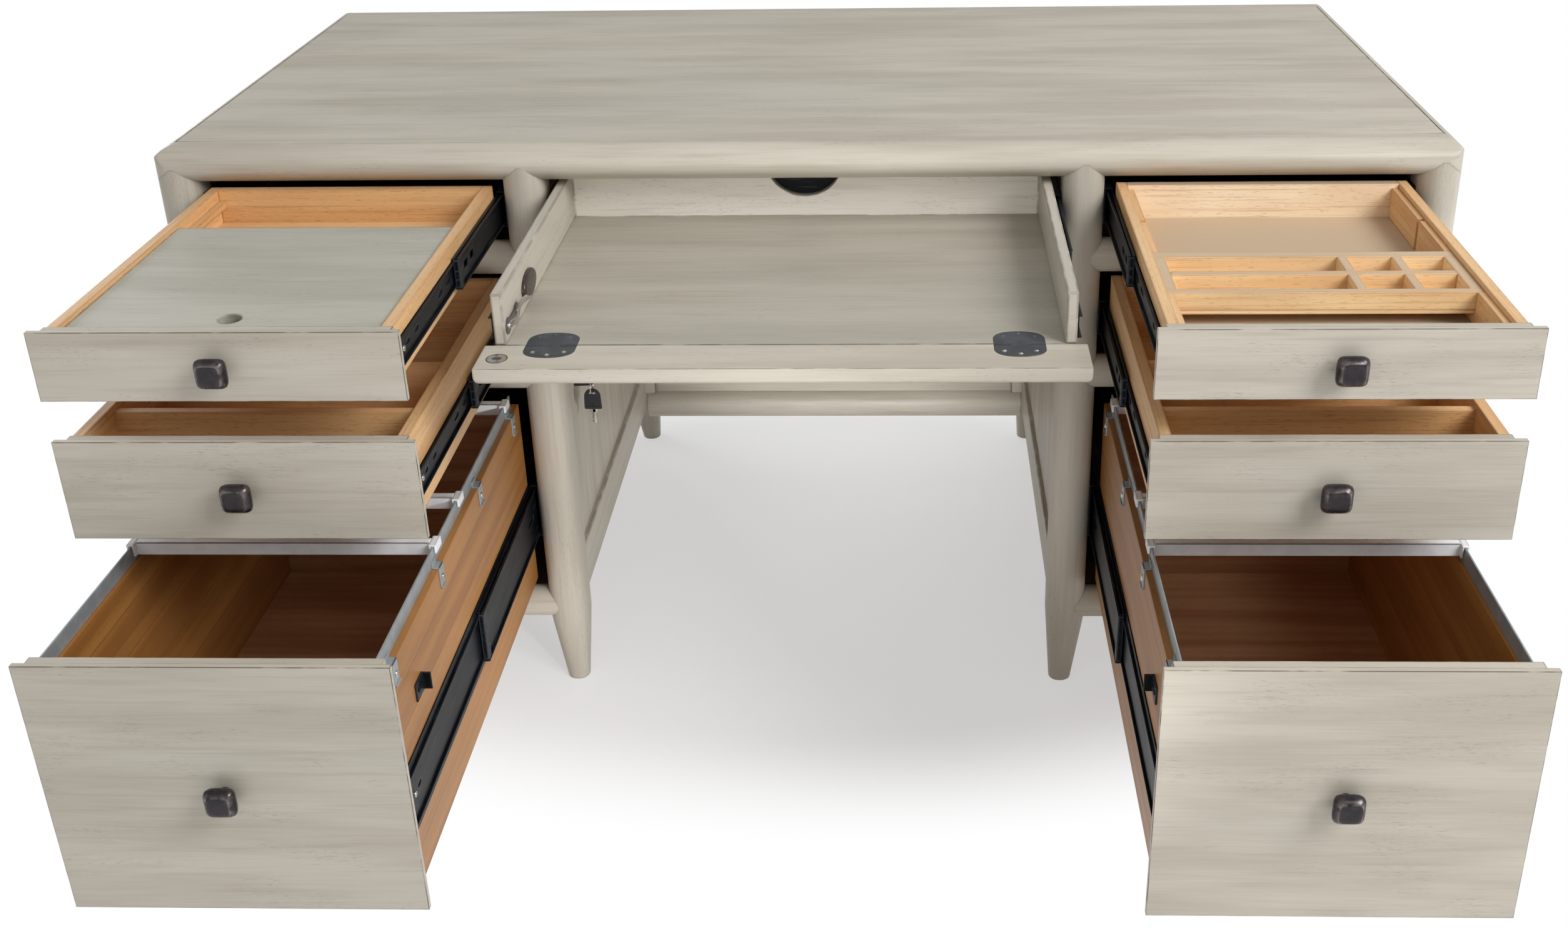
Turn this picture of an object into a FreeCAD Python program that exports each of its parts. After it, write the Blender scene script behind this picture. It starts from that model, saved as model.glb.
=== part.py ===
import FreeCAD, Part
import math
import os

# Executive desk with two drawer pedestals, a keyboard tray between them and a drop front on the
# tray. It is modelled with its drawers and tray pulled out and the drop front folded flat.
# Sizes are in millimetres. X runs along the desk, Y from front to back and Z up from the floor.
# The origin is on the floor at the centre of the box that the open desk fills.

V = FreeCAD.Vector

# Carcase
width = 1549.4
depth = 723.9
height = 762.0
post_width = 50.0
post_depth = 46.0
post_round = 22.0
post_ease = 4.0
bay_width = 366.0
top_opening = 77.4
middle_opening = 114.4
leg_height = 98.5
cross_rail = 42.0
cross_rail_setback = 22.0
foot_size = 28.8
foot_round = 13.0
foot_inset = 6.0

# Desk top
top_rail_height = 45.0
top_rail_nose = 32.0
top_rail_tip = 16.0
top_corner_round = 20.0
side_rail_ease = 7.0
edge_band = 17.7
front_band = 42.0
top_panel_thickness = 18.0
top_seam = 0.8
panel_ledge = 20.0

# Panels and lower rails
panel_recess = 8.0
panel_thickness = 12.0
low_rail_height = 66.0
low_rail_thickness = 20.0
low_rail_lift = 124.0
low_rail_recess = 2.0
low_rail_ease = 3.0
modesty_inset = 151.0
modesty_rail = 48.0
modesty_rail_lift = 97.5
modesty_thickness = 12.0
stile_width = 24.0
stile_depth = 20.0
stile_gap = 4.0
shelf_thickness = 9.0
shelf_drop = 7.0
overrun = 5.0
tolerance = 0.02
cleat_margin = 5.0

# Drawer fronts and boxes
reveal = 1.6
front_lip = 6.0
front_block = 12.0
block_step = 10.0
block_drop = 2.0
box_side = 12.0
box_back = 12.0
box_floor = 6.0
floor_lift = 10.0
floor_groove = 4.0
box_top_gap = 3.0
box_base_gap = 14.0
small_box_length = 405.0
file_box_length = 560.0
file_side_drop = 22.0
small_travel = 406.4
file_travel = 558.8

# Ball bearing slides
slide_width = 12.7
slide_gauge = 1.5
ball_gap = 2.8
cage_gap = 0.3
cage_length = 60.0
case_lip = 9.5
middle_start = 2.7
middle_lip = 7.8
drawer_lip = 4.5
small_slide = 45.0
file_slide = 76.0
tray_slide = 42.0
small_slide_length = 406.4
file_slide_length = 558.8
tray_slide_length = 355.6
slide_setback = 2.0
file_plate = 80.0
top_slide_rise = 26.0
middle_slide_rise = 36.0
file_slide_share = 0.3425

# Knobs
knob_size = 31.0
knob_base = 24.0
knob_face = 25.0
knob_round = 7.0
knob_neck = 7.0
knob_neck_length = 7.0
knob_body = 8.0
knob_crown = 8.0

# Dividers, lid and organizer
divider_thickness = 10.0
divider_groove = 4.0
divider_slack = 0.3
divider_drop = 6.0
first_divider = 86.0
second_divider = 195.0
lid_thickness = 10.0
lid_drop = 7.0
lid_length = 279.0
lid_gap = 0.3
lid_slack = 0.8
runner_size = 8.0
finger_hole = 22.0
finger_hole_setback = 47.0
organizer_start = 105.0
organizer_depth = 108.0
organizer_height = 24.0
organizer_drop = 8.0
organizer_floor = 4.0
organizer_slack = 0.6
organizer_end = 12.0
organizer_strip = 9.0
organizer_web = 10.0
organizer_back_strip = 14.0
short_cell = 47.0
end_cell = 44.4
liner_thickness = 8.0
liner_slot = 6.0
liner_slot_setback = 303.0

# File rails, clips and bars
file_rail_gauge = 2.0
file_rail_height = 18.0
file_rail_inset = 3.0
clip_width = 14.0
clip_gauge = 1.6
clip_tab = 7.0
clip_leg = 24.0
clip_first = 38.0
clip_pitch = 168.0
clip_count = 4
bar_depth = 10.0
bar_height = 15.0
bar_gauge = 1.5
bar_slack = 0.3
bar_cap_depth = 14.0
bar_cap_crown = 2.5
bar_cap_lip = 8.0
bar_cap_gauge = 3.0
bar_setbacks = (223.0, 317.0, 541.0)
hook_setback = 79.0
hook_lift = 8.0
hook_width = 40.0
hook_height = 50.0
hook_gauge = 2.0
hook_reach = 7.0
hook_slope = 14.0
hook_tooth = 14.0

# Keyboard tray and drop front
tray_shown = 330.0
tray_length = 382.0
tray_panel = 17.7
tray_drop = 105.6
tray_wall = 11.5
tray_wall_height = 56.2
tray_corner = 1.5
notch_round = 46.4
notch_centre = 71.7
drop_height = 55.0
drop_thickness = 17.7
drop_round = 5.0
drop_reveal = 2.0
joint_gap = 0.6
tray_slide_rise = 18.0
leaf_gauge = 2.0
leaf_length = 29.0
leaf_width = 52.0
leaf_round = 11.0
leaf_corner = 1.5
leaf_side = 58.0
leaf_setback = 3.0
knuckle_round = 2.0
knuckle_width = 17.0
knuckle_gap = 0.3
strike_size = 21.0
strike_setback = 31.5
strike_inset = 21.7
strike_gauge = 2.0
strike_slot = 8.0
strike_slot_height = 6.0
catch_length = 62.0
catch_height = 26.0
catch_gauge = 2.0
catch_setback = 4.0
catch_rise = 4.0
catch_arm = 6.0
catch_arm_length = 44.0
catch_corner = 6.0
catch_slope = 12.0
catch_roller = 4.0
pad_length = 54.0
pad_height = 30.0
pad_thickness = 5.0
pad_corner = 13.0
pad_setback = 80.0
pad_rise = 8.0

# Lock and keys
lock_setback = 66.0
lock_drop = 10.2
lock_ring = 8.5
lock_ring_proud = 3.0
plug_round = 5.5
plug_gap = 0.05
plug_behind = 10.0
barrel_round = 8.0
cam_gauge = 2.0
cam_length = 22.0
cam_width = 9.0
key_gauge = 2.6
key_bow_round = 10.6
key_bow_flare = 0.8
key_bow_length = 29.0
key_neck = 5.0
key_neck_width = 9.0
key_slot_length = 9.0
key_slot_round = 1.7
key_slot_inset = 6.5
key_blade_width = 5.5
key_blade_gauge = 2.0
key_blade_length = 15.4
ring_round = 9.3
ring_gauge = 0.9
ring_gap = 0.3

# Worked out from the sizes above
half_width = width / 2
bay_out = half_width - post_width
bay_in = bay_out - bay_width
knee_half = bay_in - post_width
bay_centre = (bay_in + bay_out) / 2
front_thickness = front_lip + front_block
knob_reach = knob_neck_length + knob_body + knob_crown
open_length = depth + file_travel + knob_reach
y_back = open_length / 2
y_front = y_back - depth
rail_base = height - top_rail_height
rail_1_base = rail_base - top_opening - cross_rail
rail_2_base = rail_1_base - middle_opening - cross_rail
file_opening = rail_2_base - cross_rail - leg_height
file_slide_rise = file_slide_share * file_opening
panel_face = knee_half + panel_recess
panel_inner = panel_face + panel_thickness
end_inner = half_width - panel_recess - panel_thickness
low_rail_top = low_rail_lift + low_rail_height
box_half = bay_width / 2 - slide_width
front_half = bay_width / 2 - reveal
post_y = y_front + post_depth
modesty_y = y_back - modesty_inset
modesty_rail_y = modesty_y + modesty_rail / 2
modesty_rail_z = modesty_rail_lift + modesty_rail / 2
modesty_panel_y = modesty_rail_y - modesty_thickness / 2
slide_start = front_thickness + slide_setback
tray_top = height - tray_drop
tray_half = knee_half - slide_width
leaf_x = tray_half - leaf_side
lock_height = rail_2_base - lock_drop
tray_front = y_front + drop_thickness + joint_gap - tray_shown


def block(x0, x1, y0, y1, z0, z1):
    """Board with its faces square to the axes."""
    return Part.makeBox(x1 - x0, y1 - y0, z1 - z0, V(x0, y0, z0))


def mirrored(solid):
    """The same piece on the other side of the desk."""
    return solid.mirror(V(0, 0, 0), V(1, 0, 0))


def pair(solid):
    """A piece and its mirror image, as two separate solids."""
    return [solid, mirrored(solid)]


def corner(centre, radius, start, z):
    """Quarter circle about a corner's centre, from the angle start in degrees."""
    points = []
    for step in (0, 45, 90):
        turn = math.radians(start + step)
        points.append(V(centre[0] + radius * math.cos(turn), centre[1] + radius * math.sin(turn), z))
    return Part.Arc(*points).toShape()


def rounded_outline(x0, x1, y0, y1, radii, z):
    """Rectangle with a round at each corner: front left, front right, back right, back left."""
    a, b, c, d = radii
    arcs = [corner((x0 + a, y0 + a), a, 180, z), corner((x1 - b, y0 + b), b, 270, z),
            corner((x1 - c, y1 - c), c, 0, z), corner((x0 + d, y1 - d), d, 90, z)]
    edges = []
    for here, after in zip(arcs, arcs[1:] + arcs[:1]):
        edges.append(here)
        edges.append(Part.makeLine(here.Vertexes[-1].Point, after.Vertexes[0].Point))
    return Part.Wire(edges)


def prism(outline, along):
    """Solid swept straight from a closed outline."""
    return Part.Face(outline).extrude(along)


def polygon(points):
    """Closed outline through a few points."""
    return Part.makePolygon(list(points) + [points[0]])


def rod(radius, start, along):
    """Round bar from a start point along a vector."""
    return Part.makeCylinder(radius, along.Length, start, along)


def eased(solid, radius, pick):
    """The solid with the edges whose middles are picked rounded over."""
    edges = [edge for edge in solid.Edges if pick(edge.CenterOfMass)]
    return solid.makeFillet(radius, edges)


def near(a, b):
    """Whether two places are the same within the working tolerance."""
    return abs(a - b) < tolerance


# Desk top

def nose_outline(x):
    """Section of the front top rail in the plane at x: a bull nose with a flat back.

    The nose is a small round at its tip that runs smoothly into a flatter arc above and below it.
    """
    deep = top_rail_nose
    half = top_rail_height / 2
    r = top_rail_tip
    flat = (deep ** 2 + half ** 2 - 2 * deep * r) / (2 * (half - r))
    lean = math.atan2(flat - half, deep - r)
    middle = height - half
    y = y_front + deep

    def on_tip(angle):
        return V(x, y_front + r - r * math.cos(angle), middle + r * math.sin(angle))

    def on_flat(angle, side):
        return V(x, y - flat * math.cos(angle), middle + side * (half - flat + flat * math.sin(angle)))

    halfway = (lean + math.pi / 2) / 2
    tip = Part.Arc(on_tip(lean), on_tip(0), on_tip(-lean)).toShape()
    upper = Part.Arc(on_flat(math.pi / 2, 1), on_flat(halfway, 1), on_tip(lean)).toShape()
    lower = Part.Arc(on_tip(-lean), on_flat(halfway, -1), on_flat(math.pi / 2, -1)).toShape()
    base, top = on_flat(math.pi / 2, -1), on_flat(math.pi / 2, 1)
    back = V(0, front_band - top_rail_nose, 0)
    points = [base, base + back, top + back, top]
    return Part.Wire([upper, tip, lower] + [Part.makeLine(a, b) for a, b in zip(points, points[1:])])


def top_outline(y):
    """Front view of the top in the plane at y, with its upper corners rounded."""
    r = top_corner_round
    bend = r * (1 - math.sqrt(0.5))
    arcs = []
    for side in (1, -1):
        x = side * half_width
        points = [V(x, y, height - r), V(x - side * bend, y, height - bend), V(x - side * r, y, height)]
        arcs.append(points if side > 0 else points[::-1])
    right, left = arcs
    corners = [V(-half_width, y, rail_base), V(half_width, y, rail_base)]
    return Part.Wire([Part.makeLine(*corners), Part.makeLine(corners[1], right[0]),
                      Part.Arc(*right).toShape(), Part.makeLine(right[2], left[0]),
                      Part.Arc(*left).toShape(), Part.makeLine(left[2], corners[0])])


def top_plan():
    """Plan of the front rail, with its two front corners rounded."""
    r = post_round
    y1 = y_front + front_band
    left = corner((-half_width + r, y_front + r), r, 180, rail_base)
    right = corner((half_width - r, y_front + r), r, 270, rail_base)
    points = [V(half_width, y_front + r, rail_base), V(half_width, y1, rail_base),
              V(-half_width, y1, rail_base), V(-half_width, y_front + r, rail_base)]
    front = Part.makeLine(V(-half_width + r, y_front, rail_base), V(half_width - r, y_front, rail_base))
    return Part.Wire([left, front, right] + [Part.makeLine(a, b) for a, b in zip(points, points[1:])])


def top_front_rail():
    """Front rail of the top, rounded in section, at its ends and at its upper corners."""
    rail = prism(nose_outline(-half_width), V(width, 0, 0))
    rail = rail.common(prism(top_plan(), V(0, 0, top_rail_height)))
    rail = rail.common(prism(top_outline(y_front), V(0, front_band, 0)))
    y1 = y_front + front_band
    ledge = block(-bay_out, bay_out, y1, y1 + panel_ledge, rail_base, height - top_panel_thickness)
    return rail.fuse(ledge).removeSplitter()


def top_side_rail():
    """Side rail of the top: a rounded outer edge and a ledge that the panel lies on."""
    y0 = y_front + front_band
    y1 = y_back - front_band
    rail = prism(top_outline(y0), V(0, y1 - y0, 0))
    rail = rail.common(block(half_width - edge_band, half_width, y0, y1, rail_base, height))
    rail = eased(rail, side_rail_ease, lambda m: near(m.z, rail_base) and near(m.x, half_width))
    ledge = block(bay_out, half_width - edge_band, y0, y1, rail_base, height - top_panel_thickness)
    return rail.fuse(ledge).removeSplitter()


def turned_back(solid):
    """A front piece turned round to the back of the desk."""
    return solid.mirror(V(0, (y_front + y_back) / 2, 0), V(0, 1, 0))


def top_panel():
    """Panel that fills the top between its rails, with a fine seam cut along each side."""
    x = half_width - edge_band
    y0 = y_front + front_band
    y1 = y_back - front_band
    base = height - top_panel_thickness
    points = [V(-x, y0, base), V(x, y0, base), V(x, y0, height - top_seam), V(x - top_seam, y0, height),
              V(-x + top_seam, y0, height), V(-x, y0, height - top_seam)]
    return prism(polygon(points), V(0, y1 - y0, 0))


# Posts and legs

def leg(x0, x1, outer, front):
    """Post that runs down into a leg tapered to a small foot, on its outer and front sides straight.

    outer is the x of the side that stays straight, and front says whether it is a front leg.
    """
    y0 = y_front if front else y_back - post_depth
    y1 = y0 + post_depth
    near_round = post_round if front else post_ease
    far_round = post_ease if front else post_round
    radii = (near_round, near_round, far_round, far_round)
    top = height - top_rail_height / 2
    post = prism(rounded_outline(x0, x1, y0, y1, radii, leg_height), V(0, 0, top - leg_height))
    fx0 = outer + foot_inset if near(outer, x0) else outer - foot_inset - foot_size
    fy0 = y0 + foot_inset if front else y1 - foot_inset - foot_size
    foot = rounded_outline(fx0, fx0 + foot_size, fy0, fy0 + foot_size, (foot_round,) * 4, 0)
    taper = Part.makeLoft([rounded_outline(x0, x1, y0, y1, radii, leg_height), foot], True, True)
    return post.fuse(taper).removeSplitter()


def legs(top_pieces):
    """The eight legs, cut to fit under the top: outer front, inner front and rear."""
    outer_front = leg(bay_out, half_width, half_width, True)
    inner_front = leg(knee_half, bay_in, knee_half, True)
    outer_rear = leg(bay_out, half_width, half_width, False)
    inner_rear = leg(knee_half, bay_in, knee_half, False)
    found = [piece.cut(top_pieces) for piece in (outer_front, inner_front, outer_rear, inner_rear)]
    return [whole(piece) for piece in found]


def whole(shape):
    """The one large solid of a cut, as a plain solid."""
    return max(shape.Solids, key=lambda solid: solid.Volume)


# Rails and panels

def cross_rail_at(base, posts):
    """Round rail between two front posts, coped to their rounds."""
    start = V(bay_in - post_round, y_front + cross_rail_setback, base + cross_rail / 2)
    rail = rod(cross_rail / 2, start, V(bay_width + 2 * post_round, 0, 0))
    return whole(rail.cut(posts))


def lower_rail(x0, x1, y0, y1, posts, soft):
    """Flat lower rail of a panel, its outer edges eased, ends coped to the posts."""
    rail = block(x0, x1, y0, y1, low_rail_lift, low_rail_top)
    rail = eased(rail, low_rail_ease, soft)
    return whole(rail.cut(posts))


def lower_rails(posts):
    """Lower rails of the outer ends, of the kneehole sides and of the pedestal backs."""
    y0 = post_y
    y1 = y_back - post_depth
    out = half_width - low_rail_recess
    knee = knee_half + low_rail_recess
    back = y_back - low_rail_recess
    end_rail = lower_rail(out - low_rail_thickness, out, y0, y1, posts, lambda m: near(m.x, out))
    knee_rail = lower_rail(knee, knee + low_rail_thickness, y0, y1, posts, lambda m: near(m.x, knee))
    back_rail = lower_rail(bay_in - post_round, bay_out + post_round, back - low_rail_thickness, back, posts,
                           lambda m: near(m.y, back))
    return [end_rail, knee_rail, back_rail]


def pedestal_panels(posts):
    """Outer end panel of one pedestal and its back panel, coped to the rounds of the rear posts."""
    end = block(end_inner, end_inner + panel_thickness, post_y, y_back - post_depth, low_rail_top, rail_base)
    back = block(bay_in - post_round, bay_out + post_round, y_back - panel_recess - panel_thickness,
                 y_back - panel_recess, low_rail_top, rail_base)
    return [end, whole(back.cut(posts))]


def kneehole_panel(top_pieces, hole):
    """Side panel of the kneehole, up to the underside of the top."""
    panel = block(panel_face, panel_inner, post_y, y_back - post_depth, low_rail_top,
                  height - top_panel_thickness)
    panel = panel.cut(top_pieces)
    return panel.cut(hole) if hole else panel


def modesty_pieces(low_rails):
    """Set back panel of the kneehole with its round lower rail and two corner stiles."""
    rail_start = V(-knee_half - low_rail_recess, modesty_rail_y, modesty_rail_z)
    rail = rod(modesty_rail / 2, rail_start, V(2 * (knee_half + low_rail_recess), 0, 0))
    top = height - top_panel_thickness
    panel = block(-panel_face, panel_face, modesty_panel_y, modesty_panel_y + modesty_thickness,
                  modesty_rail_z, top)
    panel = panel.cut([rail] + low_rails)
    stile_base = modesty_rail_lift + modesty_rail + stile_gap
    stile = block(panel_face - stile_width, panel_face, modesty_panel_y - stile_depth, modesty_panel_y,
                  stile_base, top)
    stile = stile.cut(low_rails)
    return [whole(panel)] + [whole(piece) for piece in pair(stile)], rail


def bay_shelves(low_rails):
    """Boards under the upper two drawers and over the open base of one pedestal.

    Each board runs between the panels and is notched square round the four posts.
    """
    y0 = y_front + cross_rail_setback + cross_rail / 2
    y1 = y_back - panel_recess - panel_thickness
    notches = []
    for x0, x1 in ((panel_inner, bay_in), (bay_out, end_inner)):
        for a, b in ((y0, post_y), (y_back - post_depth, y1)):
            notches.append(block(x0, x1, a, b, low_rail_lift, rail_base))
    shelves = []
    for low in (rail_1_base + shelf_drop, rail_2_base + shelf_drop, low_rail_lift):
        shelves.append(block(panel_inner, end_inner, y0, y1, low, low + shelf_thickness).cut(notches))
    shelves[-1] = shelves[-1].cut(low_rails)
    return [whole(shelf) for shelf in shelves]


def front_base(row):
    """Height of a drawer front's lower edge, by its row from the top."""
    openings = (rail_1_base + cross_rail, rail_2_base + cross_rail, leg_height + cross_rail)
    return openings[row] + reveal


def front_height(row):
    """Height of a drawer front, by its row from the top."""
    return (top_opening, middle_opening, file_opening)[row] - 2 * reveal


def slide_height(row):
    """Height of a drawer's case slide member, by its row from the top."""
    return file_slide if row == 2 else small_slide


def slide_centre(row):
    """Height of the middle of a drawer's slides above the floor, by its row from the top."""
    rise = (top_slide_rise, middle_slide_rise, file_slide_rise)[row]
    return front_base(row) + box_base_gap + rise


def bay_cleats():
    """Battens that the case slide members are screwed to, on both sides of one bay."""
    cleats = []
    for row in (0, 1, 2):
        half = slide_height(row) / 2 + cleat_margin
        z = slide_centre(row)
        for x0, x1 in ((panel_inner, bay_in), (bay_out, end_inner)):
            cleats.append(block(x0, x1, post_y, y_back - post_depth, z - half, z + half))
    return cleats


# Slides

def channel(web, lip, gauge, half, y0, y1, z, inward):
    """Slide member: a flat web at x = web and two flanges from it, inward along X."""
    x0, x1 = sorted((web, web + inward * gauge))
    f0, f1 = sorted((web, web + inward * lip))
    body = block(x0, x1, y0, y1, z - half, z + half)
    for side in (-1, 1):
        edge = z + side * half
        low, high = sorted((edge, edge - side * gauge))
        body = body.fuse(block(f0, f1, y0, y1, low, high))
    return body.removeSplitter()


def case_member(face, inward, size, length, y0, z):
    """Outer slide member, its web flat on the cleat at x = face."""
    return channel(face, case_lip, slide_gauge, size / 2, y0, y0 + length, z, inward)


def middle_member(face, inward, size, length, y0, z):
    """Sliding member between the other two, with its ball cages and an end clip."""
    half = size / 2 - slide_gauge - ball_gap
    start = face + inward * middle_start
    body = channel(start + inward * (middle_lip - slide_gauge) / 2, slide_gauge, slide_gauge, half, y0,
                   y0 + length, z, inward)
    x0, x1 = sorted((start, start + inward * middle_lip))
    c0, c1 = sorted((start + inward * slide_gauge, start + inward * (middle_lip - slide_gauge)))
    for side in (-1, 1):
        edge = z + side * half
        low, high = sorted((edge, edge - side * slide_gauge))
        body = body.fuse(block(x0, x1, y0, y0 + length, low, high))
        low, high = sorted((edge, edge + side * (ball_gap - cage_gap)))
        body = body.fuse(block(c0, c1, y0 + length - cage_length, y0 + length, low, high))
        inner = edge - side * slide_gauge
        low, high = sorted((inner, inner - side * (ball_gap - cage_gap)))
        k0, k1 = sorted((face + inward * (slide_width - drawer_lip + cage_gap), start + inward * middle_lip))
        body = body.fuse(block(k0, k1, y0, y0 + cage_length, low, high))
    return body.removeSplitter()


def drawer_member(face, inward, size, length, y0, z, plate):
    """Inner slide member, its web flat on the drawer's side; plate is the web's own height."""
    half = size / 2 - 2 * (slide_gauge + ball_gap)
    web = face + inward * slide_width
    body = channel(web, drawer_lip, slide_gauge, half, y0, y0 + length, z, -inward)
    if plate:
        x0, x1 = sorted((web, web - inward * slide_gauge))
        body = body.fuse(block(x0, x1, y0, y0 + length, z - plate / 2, z + plate / 2)).removeSplitter()
    return body


def bay_slides(row):
    """Case, middle and drawer members of one drawer of the right pedestal, both sides of it."""
    size = slide_height(row)
    length = file_slide_length if row == 2 else small_slide_length
    travel = file_travel if row == 2 else small_travel
    plate = file_plate if row == 2 else 0
    y0 = y_front + slide_start
    z = slide_centre(row)
    case, middle, inner = [], [], []
    for face, inward in ((bay_in, 1), (bay_out, -1)):
        case.append(case_member(face, inward, size, length, y0, z))
        middle.append(middle_member(face, inward, size, length, y0 - travel / 2, z))
        inner.append(drawer_member(face, inward, size, length, y0 - travel, z, plate))
    return case, middle, inner


# Drawers of the right pedestal

def face_y(row):
    """Y of a drawer front's outer face, pulled out as shown."""
    return y_front - (file_travel if row == 2 else small_travel)


def drawer_front(row):
    """Front board: a thin lip over a smaller block, cut from one thickness."""
    y = face_y(row)
    z0 = front_base(row)
    z1 = z0 + front_height(row)
    lip = block(bay_centre - front_half, bay_centre + front_half, y, y + front_lip, z0, z1)
    inset = front_half - block_step
    back = block(bay_centre - inset, bay_centre + inset, y + front_lip, y + front_thickness,
                 z0 + block_step, z1 - block_drop)
    return lip.fuse(back).removeSplitter()


def knob(row):
    """Square pillow knob on a round neck, on the middle of its drawer front."""
    z = front_base(row) + front_height(row) / 2
    y = face_y(row)
    neck = rod(knob_neck, V(bay_centre, y, z), V(0, -knob_neck_length, 0))
    size = knob_size
    body = rounded_outline(-size / 2, size / 2, -size / 2, size / 2, (knob_round,) * 4, 0)
    body = prism(body, V(0, 0, knob_body + knob_crown))
    body = body.common([pillow_side(0).common(pillow_side(90))])
    body.rotate(V(0, 0, 0), V(1, 0, 0), 90)
    body.translate(V(bay_centre, y - knob_neck_length, z))
    return neck.fuse(body).removeSplitter()


def pillow_side(turn):
    """Barrel profile of the knob, swept across it; the knob stands on z = 0 and is turned about Z."""
    half = knob_size / 2
    base, face = knob_base / 2, knob_face / 2
    top = knob_body + knob_crown
    right = Part.Arc(V(base, -half, 0), V(half, -half, knob_body), V(face, -half, top)).toShape()
    left = Part.Arc(V(-face, -half, top), V(-half, -half, knob_body), V(-base, -half, 0)).toShape()
    crown = Part.makeLine(V(face, -half, top), V(-face, -half, top))
    sole = Part.makeLine(V(-base, -half, 0), V(base, -half, 0))
    body = prism(Part.Wire([right, crown, left, sole]), V(0, knob_size, 0))
    body.rotate(V(0, 0, 0), V(0, 0, 1), turn)
    return body


def box_levels(row):
    """Lower and upper edge of a drawer's sides."""
    base = front_base(row) + box_base_gap
    drop = file_side_drop if row == 2 else box_top_gap
    return base, front_base(row) + front_height(row) - drop


def drawer_box(row, grooves):
    """Two sides, a back and a floor let into grooves, with more grooves for dividers."""
    y0 = face_y(row) + front_thickness
    length = file_box_length if row == 2 else small_box_length
    y1 = y0 + length
    z0, z1 = box_levels(row)
    floor = block(bay_centre - box_half + box_side - floor_groove, bay_centre + box_half - box_side
                  + floor_groove, y0, y1 - box_back, z0 + floor_lift, z0 + floor_lift + box_floor)
    sides = []
    for x0 in (bay_centre - box_half, bay_centre + box_half - box_side):
        side = block(x0, x0 + box_side, y0, y1, z0, z1)
        sides.append(side.cut([floor] + grooves) if grooves else side.cut(floor))
    back = block(bay_centre - box_half + box_side, bay_centre + box_half - box_side, y1 - box_back, y1,
                 z0, z1)
    return sides + [back, floor]


def divider_boards(row):
    """Two cross boards that stand in grooves in the drawer's sides."""
    z0, z1 = box_levels(row)
    low = z0 + floor_lift + box_floor
    reach = box_half - box_side + divider_groove
    boards, grooves = [], []
    for setback in (first_divider, second_divider):
        y = face_y(row) + setback
        half = divider_thickness / 2
        boards.append(block(bay_centre - reach + divider_slack, bay_centre + reach - divider_slack, y - half,
                            y + half, low, z1 - divider_drop))
        grooves.append(block(bay_centre - reach, bay_centre + reach, y - half - divider_slack,
                             y + half + divider_slack, low, z1))
    return boards, grooves


# What the top drawers hold

def lid_levels():
    """Underside and upper side of the sliding lid."""
    top = front_base(0) + front_height(0) - lid_drop
    return top - lid_thickness, top


def sliding_lid():
    """Lid that slides back over the left top drawer, with a round finger hole."""
    low, top = lid_levels()
    y0 = face_y(0) + front_thickness + lid_gap
    half = box_half - box_side - lid_slack
    lid = block(bay_centre - half, bay_centre + half, y0, y0 + lid_length, low, top)
    hole_y = face_y(0) + finger_hole_setback
    hole = rod(finger_hole / 2, V(bay_centre, hole_y, low - overrun), V(0, 0, lid_thickness + 2 * overrun))
    return lid.cut(hole)


def lid_runners():
    """Strips inside the left top drawer that the lid slides on."""
    low, top = lid_levels()
    y0 = face_y(0) + front_thickness
    y1 = y0 + small_box_length - box_back
    strips = []
    for side in (-1, 1):
        edge = bay_centre + side * (box_half - box_side)
        x0, x1 = sorted((edge, edge - side * runner_size))
        strips.append(block(x0, x1, y0, y1, low - runner_size, low))
    return strips


def organizer_levels():
    """Underside and upper side of the organizer tray."""
    top = front_base(0) + front_height(0) - organizer_drop
    return top - organizer_height, top


def organizer_tray():
    """Tray of two rows with one long and two short cells each, built from butted strips."""
    low, top = organizer_levels()
    half = box_half - box_side - organizer_slack
    x0, x1 = bay_centre - half, bay_centre + half
    y0 = face_y(0) + organizer_start
    y1 = y0 + organizer_depth
    deck = low + organizer_floor
    row_y = [y0 + organizer_strip, y1 - organizer_back_strip]
    mid_y = (row_y[0] + row_y[1]) / 2
    pieces = [block(x0, x1, y0, y1, low, deck), block(x0, x1, y0, row_y[0], deck, top),
              block(x0, x1, row_y[1], y1, deck, top)]
    ends = ((x0, x0 + organizer_end), (x1 - organizer_end, x1))
    for a, b in ends:
        pieces.append(block(a, b, row_y[0], row_y[1], deck, top))
    inner = (ends[0][1], ends[1][0])
    pieces.append(block(inner[0], inner[1], mid_y - organizer_strip / 2, mid_y + organizer_strip / 2, deck,
                        top))
    last_web = inner[1] - end_cell - organizer_web
    webs = (last_web - short_cell - organizer_web, last_web)
    bands = ((row_y[0], mid_y - organizer_strip / 2), (mid_y + organizer_strip / 2, row_y[1]))
    for x in webs:
        for a, b in bands:
            pieces.append(block(x, x + organizer_web, a, b, deck, top))
    return pieces


def organizer_liners():
    """Slotted strips on the right top drawer's sides, low where the organizer rests on them."""
    low, top = organizer_levels()
    z0, z1 = box_levels(0)
    deck = z0 + floor_lift + box_floor
    y0 = face_y(0) + front_thickness
    a = face_y(0) + organizer_start - organizer_slack
    b = a + organizer_depth + 2 * organizer_slack
    slot = face_y(0) + liner_slot_setback
    y1 = y0 + small_box_length - box_back
    stretches = ((y0, a, top), (a, b, low), (b, slot, top), (slot + liner_slot, y1, top))
    strips = []
    for side in (-1, 1):
        edge = bay_centre + side * (box_half - box_side)
        x0, x1 = sorted((edge, edge - side * liner_thickness))
        for start, end, level in stretches:
            strips.append(block(x0, x1, start, end, deck, level))
    return strips


# File drawer fittings

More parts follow.
